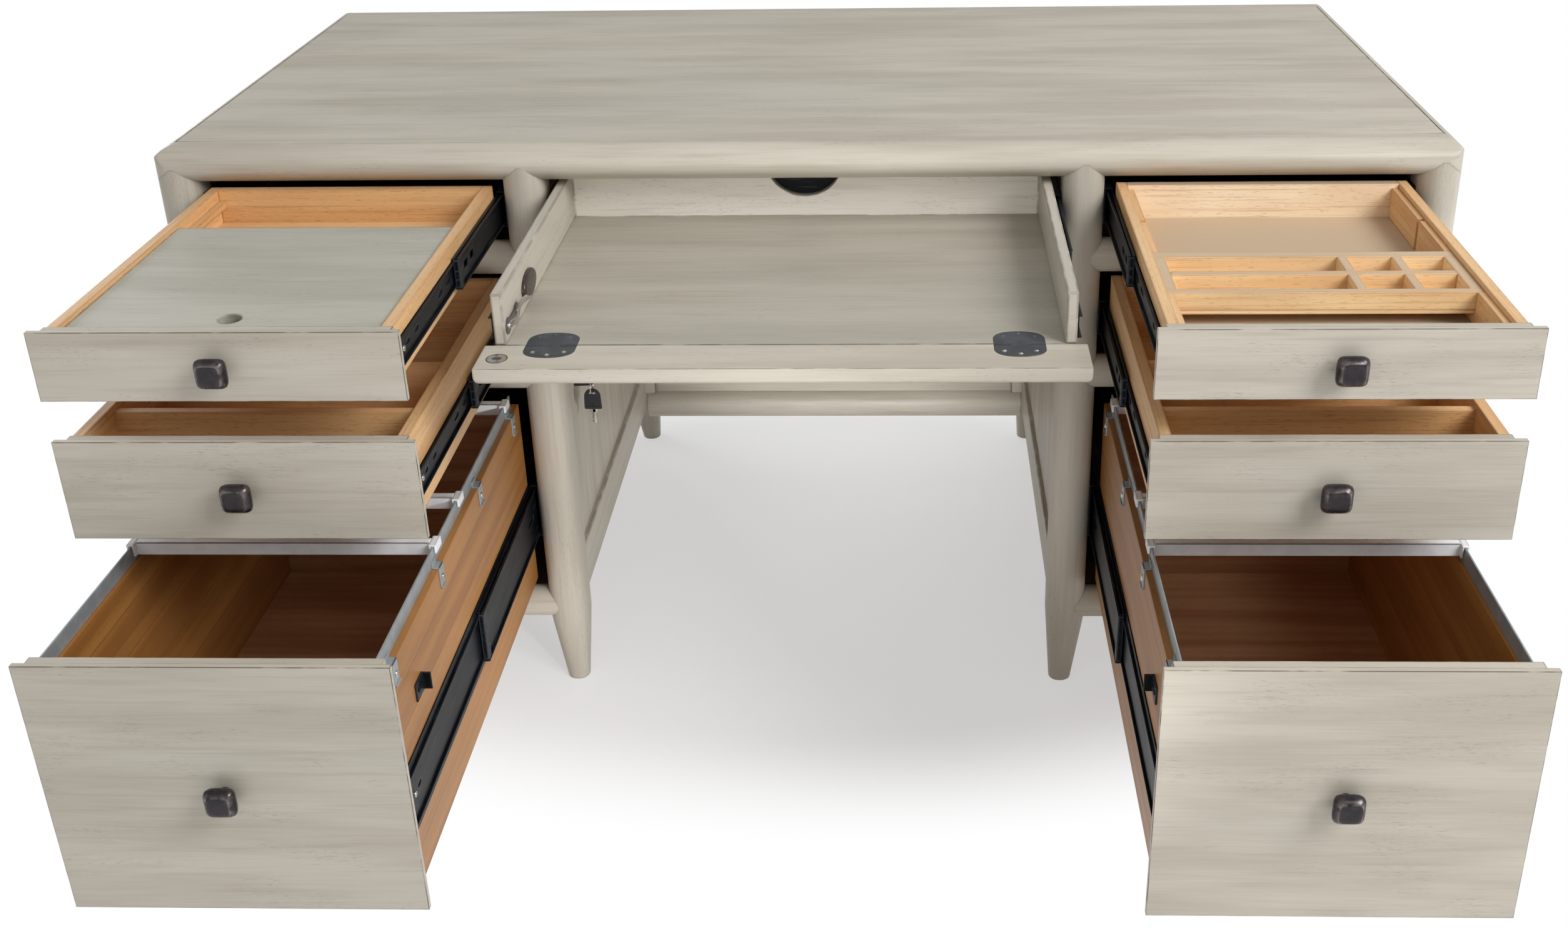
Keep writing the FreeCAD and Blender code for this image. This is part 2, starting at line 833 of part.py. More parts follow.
def file_rail_x():
    """Distance of a file rail's inner face from the drawer's centre line."""
    return box_half - box_side + file_rail_inset


def file_rails():
    """Steel strips on the file drawer's sides, the clips that hold them and the lock hook."""
    base = box_levels(2)[1]
    y0 = face_y(2) + front_thickness
    y1 = y0 + file_box_length - box_back
    inner = file_rail_x()
    pieces = []
    for side in (-1, 1):
        x0, x1 = sorted((bay_centre + side * inner, bay_centre + side * (inner + file_rail_gauge)))
        pieces.append(block(x0, x1, y0, y1, base, base + file_rail_height))
        for number in range(clip_count):
            y = face_y(2) + clip_first + clip_pitch * number
            pieces.append(file_clip(side, inner + file_rail_gauge, base, y))
    return pieces + [lock_hook()]


def file_clip(side, start, base, y):
    """Bent clip: a tab on the rail, a step over the drawer's side and a leg down its outside."""
    out = box_half
    g = clip_gauge
    points = [(start, base + g), (start, base + clip_tab), (start + g, base + clip_tab),
              (start + g, base + g), (out + g, base + g), (out + g, base - clip_leg), (out, base - clip_leg),
              (out, base), (start, base)]
    outline = polygon([V(bay_centre + side * x, y - clip_width / 2, z) for x, z in points])
    return prism(outline, V(0, clip_width, 0))


def lock_hook():
    """Hook on the drawer's kneehole side that the lock bar catches."""
    y0 = face_y(2) + hook_setback
    z0 = slide_centre(2) + file_plate / 2 + hook_lift
    x = bay_centre - box_half
    points = [(y0, z0), (y0 + hook_slope, z0), (y0 + hook_width, z0 + hook_height - hook_tooth),
              (y0 + hook_width, z0 + hook_height), (y0 + hook_slope, z0 + hook_height), (y0, z0 + hook_slope)]
    plate = prism(polygon([V(x, y, z) for y, z in points]), V(-hook_gauge, 0, 0))
    tooth = block(x - hook_reach, x - hook_gauge, y0 + hook_width - hook_gauge, y0 + hook_width,
                  z0 + hook_height - hook_tooth, z0 + hook_height)
    return plate.fuse(tooth).removeSplitter()


def file_bars():
    """Three cross bars that hang folders, each an open channel with a cap hooked on each rail."""
    rail_top = box_levels(2)[1] + file_rail_height
    inner = file_rail_x() - bar_slack
    pieces = []
    for setback in bar_setbacks:
        y = face_y(2) + setback
        top = rail_top + bar_slack + bar_cap_crown
        low = top - bar_height
        x0, x1 = bay_centre - inner + bar_cap_gauge, bay_centre + inner - bar_cap_gauge
        bar = block(x0, x1, y - bar_depth / 2, y + bar_depth / 2, low, top)
        hollow = block(x0, x1, y - bar_depth / 2 + bar_gauge, y + bar_depth / 2 - bar_gauge, low,
                       top - bar_gauge)
        pieces.append(bar.cut(hollow))
        for side in (-1, 1):
            pieces.append(bar_cap(side, y, rail_top))
    return pieces


def bar_cap(side, y, rail_top):
    """White end cap that sits on the rail, with a lip down each side of it."""
    inner = file_rail_x() - bar_slack
    outer = inner + file_rail_gauge + 2 * bar_slack
    g = bar_cap_gauge
    seat = rail_top + bar_slack
    top = seat + bar_cap_crown
    points = [(inner - g, top - bar_height), (inner, top - bar_height), (inner, seat), (outer, seat),
              (outer, top - bar_cap_lip), (outer + g, top - bar_cap_lip), (outer + g, top), (inner - g, top)]
    outline = polygon([V(bay_centre + side * x, y - bar_cap_depth / 2, z) for x, z in points])
    return prism(outline, V(0, bar_cap_depth, 0))


# Keyboard tray

def tray_board(cuts):
    """Floor of the tray, with pockets for the hinge leaves in its front edge."""
    y1 = tray_front + tray_length
    board = block(-tray_half, tray_half, tray_front, y1, tray_top - tray_panel, tray_top)
    return board.cut(cuts)


def tray_walls():
    """Two sides and a back with a half round notch for cables."""
    z1 = tray_top + tray_wall_height
    y1 = tray_front + tray_length
    side = block(tray_half - tray_wall, tray_half, tray_front, y1, tray_top, z1)
    side = eased(side, tray_corner, lambda m: near(m.z, z1) and not near(m.y, y1))
    back = block(-tray_half + tray_wall, tray_half - tray_wall, y1 - tray_wall, y1, tray_top, z1)
    notch = rod(notch_round, V(0, y1 - tray_wall - overrun, tray_top + notch_centre),
                V(0, tray_wall + 2 * overrun, 0))
    return pair(side) + [back.cut(notch)]


def tray_slides():
    """Case, middle and tray members of the tray's slides, both sides."""
    y0 = y_front + slide_start
    z = tray_top + tray_slide_rise
    shift = tray_shown
    case = case_member(knee_half, -1, tray_slide, tray_slide_length, y0, z)
    middle = middle_member(knee_half, -1, tray_slide, tray_slide_length, y0 - shift / 2, z)
    inner = drawer_member(knee_half, -1, tray_slide, tray_slide_length, y0 - shift, z, 0)
    return pair(case), pair(middle), pair(inner)


def tray_cleats():
    """Battens in the kneehole that carry the tray's case slide members."""
    half = tray_slide / 2 + cleat_margin
    z = tray_top + tray_slide_rise
    return pair(block(knee_half, panel_face, post_y, modesty_panel_y - stile_depth, z - half, z + half))


def hinge_axis():
    """Y and Z of the drop front's hinge line, on the upper faces of tray and drop front."""
    return tray_front - joint_gap / 2, tray_top


def tray_leaf():
    """Hinge leaf let into the tray, with the middle knuckle."""
    y, z = hinge_axis()
    leaf = leaf_plate(tray_front, tray_front + leaf_length, leaf_x, True)
    x0, x1 = leaf_x - knuckle_width / 2, leaf_x + knuckle_width / 2
    knuckle = half_knuckle(x0, x1, y, z)
    bridge = block(x0, x1, y, tray_front + leaf_setback, z - leaf_gauge, z)
    return leaf.fuse([knuckle, bridge]).removeSplitter()


def drop_leaf():
    """Hinge leaf let into the drop front, cut away round the middle knuckle."""
    y, z = hinge_axis()
    leaf = leaf_plate(y - joint_gap / 2 - leaf_length, y - joint_gap / 2, leaf_x, False)
    half = knuckle_width / 2 + knuckle_gap
    space = block(leaf_x - half, leaf_x + half, y - knuckle_round - knuckle_gap, y + knuckle_round,
                  z - leaf_gauge - overrun, z + overrun)
    return leaf.cut(space)


def half_knuckle(x0, x1, y, z):
    """Lower half of a hinge knuckle about the hinge line."""
    knuckle = rod(knuckle_round, V(x0, y, z), V(x1 - x0, 0, 0))
    return knuckle.common(block(x0, x1, y - knuckle_round, y + knuckle_round, z - knuckle_round, z))


def leaf_plate(y0, y1, x, rounded_back):
    """Flat hinge leaf with its two far corners rounded."""
    half = leaf_width / 2
    near_round, far_round = (leaf_corner, leaf_round) if rounded_back else (leaf_round, leaf_corner)
    radii = (near_round, near_round, far_round, far_round)
    outline = rounded_outline(x - half, x + half, y0, y1, radii, tray_top - leaf_gauge)
    return prism(outline, V(0, 0, leaf_gauge))


def drop_front(cuts):
    """Drop front of the tray, folded flat: a rounded board, pocketed for its fittings."""
    half = knee_half - drop_reveal
    y1 = tray_front - joint_gap
    y0 = y1 - drop_height
    board = block(-half, half, y0, y1, tray_top - drop_thickness, tray_top)
    low = tray_top - drop_thickness
    board = eased(board, drop_round, lambda m: near(m.z, low) and not near(m.y, y1))
    y, z = hinge_axis()
    gap = knuckle_round + knuckle_gap
    reach = knuckle_width / 2 + knuckle_gap
    space = rod(gap, V(leaf_x - reach, y, z), V(2 * reach, 0, 0))
    return whole(board.cut(cuts + [space, mirrored(space)]))


def strike():
    """Round strike plate with a slot, let into the drop front at its left end."""
    x = -knee_half + strike_inset
    y = tray_front - strike_setback
    plate = rod(strike_size / 2, V(x, y, tray_top - strike_gauge), V(0, 0, strike_gauge))
    slot = block(x - strike_slot / 2, x + strike_slot / 2, y - strike_slot_height / 2,
                 y + strike_slot_height / 2, tray_top - strike_gauge - overrun, tray_top + overrun)
    return plate, plate.cut(slot)


def tray_catch():
    """Spring catch on the left wall: a plate with two sprung arms and a roller."""
    x = -tray_half + tray_wall
    y0 = tray_front + catch_setback
    z0 = tray_top + catch_rise
    y1 = y0 + catch_length
    z1 = z0 + catch_height
    g = catch_gauge
    outline = [V(x, y0, z0), V(x, y1 - catch_slope, z0), V(x, y1, z1 - catch_slope), V(x, y1, z1),
               V(x, y0 + catch_corner, z1), V(x, y0, z1 - catch_corner)]
    plate = prism(polygon(outline), V(g, 0, 0))
    for level in (z0 + catch_arm, z1 - catch_arm - g):
        plate = plate.fuse(block(x + g, x + g + catch_arm, y0, y0 + catch_arm_length, level, level + g))
    middle = (z0 + z1) / 2
    roller = rod(catch_roller, V(x + g, y0 + catch_roller, middle), V(catch_arm, 0, 0))
    return plate.fuse(roller).removeSplitter()


def side_pad():
    """Oval pad on the inner face of the tray's left wall."""
    x = -tray_half + tray_wall
    y0 = tray_front + pad_setback
    z0 = tray_top + pad_rise
    flat = rounded_outline(y0, y0 + pad_length, z0, z0 + pad_height, (pad_corner,) * 4, 0)
    flat.rotate(V(0, 0, 0), V(1, 1, 1), 120)
    flat.translate(V(x, 0, 0))
    return prism(flat, V(pad_thickness, 0, 0))


# Lock and keys

def lock_centre():
    """Centre of the lock on the left kneehole panel's face."""
    return V(-panel_face, y_front + lock_setback, lock_height)


def lock_cylinder():
    """Barrel through the panel with a ring on its face, bored for the plug."""
    c = lock_centre()
    behind = panel_thickness + plug_behind
    barrel = rod(barrel_round, V(c.x - behind, c.y, c.z), V(behind, 0, 0))
    ring = rod(lock_ring, c, V(lock_ring_proud, 0, 0))
    bore = rod(plug_round + plug_gap, V(c.x - behind - overrun, c.y, c.z),
               V(behind + lock_ring_proud + 2 * overrun, 0, 0))
    return barrel, barrel.fuse(ring).cut(bore).removeSplitter()


def key_shape(end, direction):
    """Flat key lying in the XZ plane, from the arched end of its bow to the tip of its blade.

    direction is the turn about Y that points the blade, where 0 is along +X and 90 is straight down.
    """
    r = key_bow_round
    wide = r + key_bow_flare
    tail = key_bow_length
    arch = Part.Arc(V(r, 0, r), V(0, 0, 0), V(r, 0, -r)).toShape()
    corners = [V(r, 0, -r), V(tail, 0, -wide), V(tail, 0, wide), V(r, 0, r)]
    sides = [Part.makeLine(a, b) for a, b in zip(corners, corners[1:])]
    bow = prism(Part.Wire([arch] + sides), V(0, key_gauge, 0))
    slot_y = -overrun
    reach = key_slot_length / 2 - key_slot_round
    x0, x1 = key_slot_inset - key_slot_round, key_slot_inset + key_slot_round
    slot = block(x0, x1, slot_y, key_gauge + overrun, -reach, reach)
    for z in (-reach, reach):
        slot = slot.fuse(rod(key_slot_round, V(key_slot_inset, slot_y, z), V(0, key_gauge + 2 * overrun, 0)))
    lift = (key_gauge - key_blade_gauge) / 2
    pieces = []
    for length, across in ((key_neck, key_neck_width), (key_neck + key_blade_length, key_blade_width)):
        pieces.append(block(tail, tail + length, lift, lift + key_blade_gauge, -across / 2, across / 2))
    key = bow.cut(slot).fuse(pieces).removeSplitter()
    key.translate(V(0, -key_gauge / 2, 0))
    key.rotate(V(0, 0, 0), V(0, 1, 0), direction)
    key.translate(end)
    return key


def key_end():
    """Arched end of the bow of the key that stands in the lock."""
    c = lock_centre()
    return V(c.x + lock_ring_proud + key_neck + key_bow_length, c.y, c.z)


def ring_centre():
    """Centre of the small ring that hangs in the slot of the key in the lock."""
    end = key_end()
    top = end.z - key_slot_length / 2 + ring_gap + ring_gauge
    return V(end.x - key_slot_inset, end.y, top - ring_round)


def lock_key():
    """Plug and cam that turn with the key that stands in it."""
    c = lock_centre()
    back = c.x - panel_thickness - plug_behind
    plug = rod(plug_round, V(back - cam_gauge, c.y, c.z), V(c.x + lock_ring_proud - back + cam_gauge, 0, 0))
    cam = block(back - cam_gauge, back, c.y - cam_width / 2, c.y + cam_width / 2, c.z - cam_length,
                c.z + cam_width / 2)
    return plug.fuse([cam, key_shape(key_end(), 180)]).removeSplitter()


def hanging_key():
    """Spare key on a small ring through the bow of the key in the lock."""
    centre = ring_centre()
    start = V(centre.x - ring_gauge, centre.y, centre.z)
    along = V(2 * ring_gauge, 0, 0)
    ring = rod(ring_round + ring_gauge, start, along).cut(rod(ring_round - ring_gauge, start, along))
    slot_top = centre.z - ring_round + ring_gauge + ring_gap
    end = V(centre.x, centre.y, slot_top - key_slot_round + key_slot_inset)
    return [ring, key_shape(end, 90)]


# Export

def write(name, solids):
    """One file for one named piece or group of like pieces."""
    shape = solids if isinstance(solids, Part.Shape) else Part.makeCompound(list(solids))
    for solid in shape.Solids:
        if not solid.isValid() or solid.Volume <= 0:
            raise ValueError(name + " has a bad solid")
    shape.exportStep(os.path.join("parts", name + ".step"))


def both_bays(solids):
    """Pieces of the right pedestal and their mirror images in the left one."""
    return [piece for solid in solids for piece in pair(solid)]


def build_case():
    """Top, legs, rails, panels and inner boards."""
    front = top_front_rail()
    side = top_side_rail()
    back = turned_back(front)
    panel = top_panel()
    write("top_panel", panel)
    write("top_front_rail", front)
    write("top_edge_rails", pair(side) + [back])
    top_pieces = [front, side, back, panel]
    outer_front, inner_front, outer_rear, inner_rear = legs(top_pieces)
    write("outer_front_legs", pair(outer_front))
    write("inner_front_legs", pair(inner_front))
    write("rear_legs", pair(outer_rear) + pair(inner_rear))
    posts = [outer_front, inner_front, outer_rear, inner_rear]
    rails = [cross_rail_at(base, posts) for base in (rail_1_base, rail_2_base, leg_height)]
    write("drawer_rails", both_bays(rails))
    low_rails = lower_rails(posts)
    write("pedestal_panels", both_bays(pedestal_panels(posts)))
    barrel, cylinder = lock_cylinder()
    plain = kneehole_panel(top_pieces, None)
    write("kneehole_panels", [plain, mirrored(kneehole_panel(top_pieces, mirrored(barrel)))])
    modesty, round_rail = modesty_pieces(both_bays(low_rails))
    write("modesty_panel", modesty)
    write("lower_rails", both_bays(low_rails) + [round_rail])
    shelves = bay_shelves(low_rails)
    write("pedestal_boards", both_bays(shelves + bay_cleats()) + tray_cleats())
    write("lock_cylinder", cylinder)
    write("lock_key", lock_key())
    write("hanging_key", hanging_key())


def build_drawers():
    """Six drawers with their slides, and what the drawers hold."""
    case_slides = []
    for row, level in enumerate(("top", "middle", "file")):
        case, middle, inner = bay_slides(row)
        case_slides += both_bays(case)
        boards, grooves = divider_boards(row) if level == "middle" else ([], [])
        extra = {"top": (lid_runners(), organizer_liners())}.get(level, (boards, boards))
        for flip, side in ((mirrored, "left"), (lambda solid: solid, "right")):
            name = side + "_" + level
            box = drawer_box(row, grooves) + extra[side == "right"]
            write(name + "_front", flip(drawer_front(row)))
            write(name + "_box", [flip(piece) for piece in box])
            write(name + "_knob", flip(knob(row)))
            write(name + "_slides", [flip(piece) for piece in inner])
            write(name + "_slide_middles", [flip(piece) for piece in middle])
            if level == "file":
                write(name + "_rails", [flip(piece) for piece in file_rails()])
                write(name + "_bars", [flip(piece) for piece in file_bars()])
    write("left_top_lid", mirrored(sliding_lid()))
    write("right_top_organizer", organizer_tray())
    case, middle, inner = tray_slides()
    write("case_slides", case_slides + case)
    write("tray_slide_middles", middle)
    write("tray_slides", inner)


def build_tray():
    """Keyboard tray with its drop front and fittings."""
    back_leaves = pair(tray_leaf())
    front_leaves = pair(drop_leaf())
    blank, plate = strike()
    write("tray_board", tray_board(back_leaves))
    write("tray_walls", tray_walls())
    write("tray_hinges_and_catch", back_leaves + [tray_catch()])
    write("tray_side_pad", side_pad())
    write("drop_front", drop_front(front_leaves + [blank]))
    write("drop_front_hinges", front_leaves + [plate])


os.makedirs("parts", exist_ok=True)
build_case()
build_drawers()
build_tray()
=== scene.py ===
import math

import bmesh
import bpy
import numpy as np
from mathutils import Matrix, Vector


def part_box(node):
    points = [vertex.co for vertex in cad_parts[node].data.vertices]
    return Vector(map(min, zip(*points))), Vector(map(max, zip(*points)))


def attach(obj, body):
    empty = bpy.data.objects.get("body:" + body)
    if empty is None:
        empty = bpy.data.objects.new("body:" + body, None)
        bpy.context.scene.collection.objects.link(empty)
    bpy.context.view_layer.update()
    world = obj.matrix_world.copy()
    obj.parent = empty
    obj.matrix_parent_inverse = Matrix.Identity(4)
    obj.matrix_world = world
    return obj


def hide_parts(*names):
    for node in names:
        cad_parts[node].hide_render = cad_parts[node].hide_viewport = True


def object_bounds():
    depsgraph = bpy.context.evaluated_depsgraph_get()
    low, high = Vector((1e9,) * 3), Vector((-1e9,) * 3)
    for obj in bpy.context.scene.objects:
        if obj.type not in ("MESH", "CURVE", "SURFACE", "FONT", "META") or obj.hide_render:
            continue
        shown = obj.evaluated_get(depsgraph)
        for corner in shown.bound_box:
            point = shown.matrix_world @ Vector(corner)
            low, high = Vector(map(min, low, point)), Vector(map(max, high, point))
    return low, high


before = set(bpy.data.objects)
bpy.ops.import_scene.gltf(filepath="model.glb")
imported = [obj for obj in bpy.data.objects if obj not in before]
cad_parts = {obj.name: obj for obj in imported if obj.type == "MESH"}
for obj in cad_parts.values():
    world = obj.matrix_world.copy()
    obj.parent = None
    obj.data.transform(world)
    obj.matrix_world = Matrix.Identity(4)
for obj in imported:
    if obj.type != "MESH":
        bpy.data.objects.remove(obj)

cad_low, cad_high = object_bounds()


# Top panel: a veneered board that fills the desk top between its rails, glued up flush with them. A fine
# dark seam runs along each side. It has the finish of the whole outside, grey-beige glaze brushed on
# along the grain, wiped back so that it stays dark in pores and edges, and sealed with satin lacquer.

def linear(red, green, blue):
    """A colour given as 0 to 255 in a picture, as the light it stands for."""
    share = np.array([red, green, blue]) / 255
    light = np.where(share < 0.04045, share / 12.92, ((share + 0.055) / 1.055) ** 2.4)
    return (*light.tolist(), 1.0)


def new_finish(name):
    """A new material, its shader, and a function that adds a node and fills or links its sockets."""
    material = bpy.data.materials.new(name)
    material.use_nodes = True
    tree = material.node_tree

    def add(kind, sockets=None, **settings):
        """A node of a kind, with the sockets' values or links and the node's own settings."""
        node = tree.nodes.new("ShaderNode" + kind)
        for key, value in settings.items():
            setattr(node, key, value)
        for key, value in (sockets or {}).items():
            if isinstance(value, bpy.types.NodeSocket):
                tree.links.new(value, node.inputs[key])
            else:
                node.inputs[key].default_value = value
        return node

    return material, tree.nodes["Principled BSDF"], add


def carried(add, name, output):
    """What a mesh carries under a name: "grain" is a place along the grain, "glaze" a mark at its edges."""
    return add("Attribute", attribute_name=name).outputs[output]


def drawn_out(add, coords, along, across, detail=2.0):
    """Noise whose patches are as long as along, down the grain, and as wide as across, in metres."""
    scale = (1 / along, 1 / across, 1 / across)
    spread = add("Mapping", {"Vector": coords, "Scale": scale}).outputs["Vector"]
    return add("TexNoise", {"Vector": spread, "Scale": 1.0, "Detail": detail}).outputs["Fac"]


def between(add, value, low, high):
    """How far a value has come from low to high, held between 0 and 1."""
    sockets = {"Value": value, "From Min": low, "From Max": high}
    return add("MapRange", sockets, interpolation_type="SMOOTHSTEP").outputs["Result"]


def product(add, first, second):
    """Two shares multiplied."""
    return add("Math", {0: first, 1: second}, operation="MULTIPLY").outputs[0]


def sloped(add, value, factor, base):
    """A value times a factor, plus a base."""
    return add("Math", {0: value, 1: factor, 2: base}, operation="MULTIPLY_ADD").outputs[0]


def blended(add, share, first, second):
    """A colour that goes from the first to the second as the share goes from 0 to 1."""
    return add("Mix", {0: share, 6: first, 7: second}, data_type="RGBA").outputs[2]


def two_toned(add, value, span, dark, light):
    """A colour that goes from dark to light as a value goes from one end of a span to the other."""
    return blended(add, between(add, value, *span), linear(*dark), linear(*light))


def tinted(add, tone, colour, strength, share, span=None):
    """A tone taken towards a colour by a share times a strength; a span turns noise into the share."""
    if span:
        share = between(add, share, *span)
    return blended(add, product(add, share, strength), tone, linear(*colour))


def surfaced(add, shader, tone, rough, relief, strength, depth):
    """Gives a shader its colour, its roughness and the fine relief of its surface.

    Roughness is one number, or a share and the two values that it goes between.
    """
    link = shader.id_data.links.new
    link(tone, shader.inputs["Base Color"])
    if isinstance(rough, tuple):
        share, low, high = rough
        link(blended(add, share, (low,) * 4, (high,) * 4), shader.inputs["Roughness"])
    else:
        shader.inputs["Roughness"].default_value = rough
    bump = add("Bump", {"Height": relief, "Strength": strength, "Distance": depth})
    link(bump.outputs["Normal"], shader.inputs["Normal"])


def greige_finish(name, light, dark):
    """Grey-beige glaze on wood, read from the grain that each board carries.

    Long clouds and fine brush marks run along the grain, short dark pores lie in patches, and the
    glaze left at edges and seams, which each board carries too, is a broken dark line. The same mark also
    carries painted shade in a few places: bands on the bull nose and lines round let-in fittings.
    """
    material, shader, add = new_finish(name)
    grain = carried(add, "grain", "Vector")
    brush = drawn_out(add, grain, 0.07, 0.0016, 3.0)
    pore = drawn_out(add, grain, 0.0085, 0.00075, 1.0)
    patch = drawn_out(add, grain, 0.11, 0.035)
    pores = product(add, between(add, pore, 0.62, 0.70), between(add, patch, 0.5, 0.62))
    tone = two_toned(add, drawn_out(add, grain, 0.36, 0.045, 3.0), (0.33, 0.67), dark, light)
    tone = tinted(add, tone, (176, 174, 164), 0.25, drawn_out(add, grain, 0.9, 0.22), (0.45, 0.7))
    tone = tinted(add, tone, (146, 136, 120), 0.20, drawn_out(add, grain, 0.16, 0.008), (0.52, 0.74))
    tone = tinted(add, tone, (150, 142, 128), 0.18, brush, (0.5, 0.78))
    tone = tinted(add, tone, (226, 220, 208), 0.10, brush, (0.5, 0.25))
    tone = tinted(add, tone, (100, 88, 72), 0.30, pores)
    worn = between(add, drawn_out(add, grain, 0.03, 0.02), 0.30, 0.56)
    tone = tinted(add, tone, (74, 66, 54), sloped(add, worn, 0.62, 0.12), carried(add, "glaze", "Fac"))
    relief = sloped(add, pores, -1.0, brush)
    surfaced(add, shader, tone, (between(add, brush, 0.3, 0.7), 0.40, 0.50), relief, 0.22, 0.0004)
    return material


def turned_to(points, along):
    """Places as a board's own grain sees them: the first value runs along the grain.

    Each board's grain starts somewhere else, by an amount worked out from its place, so that no two
    boards show the same figure.
    """
    order = {"x": [0, 1, 2], "y": [1, 0, 2], "z": [2, 0, 1]}[along]
    start = points.mean(0)
    shift = np.array([start @ [3.7, 5.1, 7.3], start @ [11.3, 2.9, 6.1], start @ [4.3, 9.7, 3.1]])
    return points[:, order] + shift


def grid_faces(rows, columns, closed=True):
    """Four-sided faces of a grid of points, rows by columns; closed joins the last column to the first."""
    index = np.arange(rows * columns).reshape(rows, columns)
    if closed:
        index = np.concatenate([index, index[:, :1]], 1)
    quads = np.stack([index[:-1, :-1], index[:-1, 1:], index[1:, 1:], index[1:, :-1]], -1)
    return quads.reshape(-1, 4)


def others(axis):
    """The two axes besides one."""
    return [i for i in (0, 1, 2) if i != axis]


def stacked(flats, levels, axis):
    """Rings of points across an axis: each has its two flat coordinates and its level along the axis."""
    rings = np.zeros((len(flats), len(flats[0]), 3))
    for ring, flat, level in zip(rings, flats, levels):
        ring[:, others(axis)] = flat
        ring[:, axis] = level
    return rings


def capped(rings, along, marks=0.0):
    """A tube of rings of points, closed by a fan of triangles round the middle of each end ring."""
    rows, columns = rings.shape[:2]
    marks = np.broadcast_to(marks, (rows, columns))
    points = np.concatenate([rings.reshape(-1, 3), [rings[0].mean(0), rings[-1].mean(0)]])
    first = np.arange(columns)
    after = np.roll(first, -1)
    last = (rows - 1) * columns
    middle = np.full(columns, rows * columns)
    fans = [np.stack([first, middle, after], 1), np.stack([first + last, after + last, middle + 1], 1)]
    return {"points": points, "quads": grid_faces(rows, columns), "triangles": np.concatenate(fans),
            "grain": turned_to(points, along), "glaze": np.concatenate([marks.ravel(), [0.0, 0.0]])}


def piece(name, forms, material, body, nodes=(), sharp=38.0):
    """One object from several forms, riding on a body and standing for some nodes.

    The forms' arrays are joined end to end, and each form's faces are turned outwards. sharp is the
    angle in degrees past which an edge is drawn crisp.
    """
    parts = {key: np.concatenate([form[key] for form in forms]) for key in ("points", "grain", "glaze")}
    faces, start = [], 0
    for form in forms:
        for kind in ("quads", "triangles"):
            faces += (form.get(kind, np.zeros((0, 3), int)) + start).tolist()
        start += len(form["points"])
    mesh = bpy.data.meshes.new(name)
    mesh.from_pydata(parts["points"].tolist(), [], faces)
    for key, kind, field in (("grain", "FLOAT_VECTOR", "vector"), ("glaze", "FLOAT", "value")):
        values = parts[key].astype(np.float32).ravel()
        mesh.attributes.new(key, kind, "POINT").data.foreach_set(field, values)
    mesh.polygons.foreach_set("use_smooth", np.ones(len(mesh.polygons), bool))
    outward = bmesh.new()
    outward.from_mesh(mesh)
    bmesh.ops.recalc_face_normals(outward, faces=outward.faces)
    outward.to_mesh(mesh)
    outward.free()
    mesh.set_sharp_from_angle(angle=math.radians(sharp))
    mesh.materials.append(material)
    made = bpy.data.objects.new(name, mesh)
    bpy.context.scene.collection.objects.link(made)
    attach(made, body)
    if nodes:
        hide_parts(*nodes)


greige = greige_finish("greige_lacquer", (202, 195, 181), (186, 178, 163))

panel_low, panel_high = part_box("top_panel")
seam = 0.0008
wiped = 0.0015
seam_marks = [0, 2.2, 2.0]
half, over, under = panel_high.x, panel_high.z, panel_low.z
panel_side = np.array([[half, under], [half, over - seam], [half - seam, over], [half - wiped, over]])
panel_edge = np.concatenate([panel_side, panel_side[::-1] * [-1, 1]])
rings = stacked([panel_edge] * 2, [panel_low.y, panel_high.y], 1)
piece("desk_top_panel", [capped(rings, "x", seam_marks + [0, 0] + seam_marks[::-1])], greige, "desk",
      ["top_panel"])


# Front and back rails of the top: solid bars with a bull nose, a small round at the tip that runs into
# a flatter arc above and below, their ends rounded in plan and at the upper corners by sanding.

nose_height = 0.045
nose_depth = 0.032
nose_tip = 0.016
rail_depth = 0.042
plan_round = 0.022
crown_round = 0.020
sanded = 0.0006


def nose_profile():
    """Depth and height of points round the rail's section, from its upper back edge over the nose.

    Three arcs meet without a corner: the tip's round, and above and below it an arc whose radius
    makes it end level at the rail's upper and lower faces.
    """
    middle = nose_height / 2
    flat = (nose_depth ** 2 + middle ** 2 - 2 * nose_depth * nose_tip) / (2 * (middle - nose_tip))
    lean = math.atan2(flat - middle, nose_depth - nose_tip)
    upper = np.linspace(math.pi / 2, lean, 9)
    tip = np.linspace(lean, -lean, 17)[1:-1]
    arc = np.stack([nose_depth - flat * np.cos(upper), middle - flat + flat * np.sin(upper)], 1)
    nose = np.stack([nose_tip - nose_tip * np.cos(tip), nose_tip * np.sin(tip)], 1)
    return np.concatenate([[[rail_depth, middle]], arc, nose, arc[::-1] * [1, -1], [[rail_depth, -middle]]])


def softly_most(first, second, blend):
    """The larger of two values, with the change from one to the other rounded over about blend."""
    return (first + second + np.sqrt((first - second) ** 2 + blend ** 2)) / 2


def quarter_drop(past, radius):
    """How far a quarter circle has dropped: r minus the root of r squared minus the distance squared."""
    past = np.clip(past, 0, radius)
    return radius - np.sqrt(radius ** 2 - past ** 2)


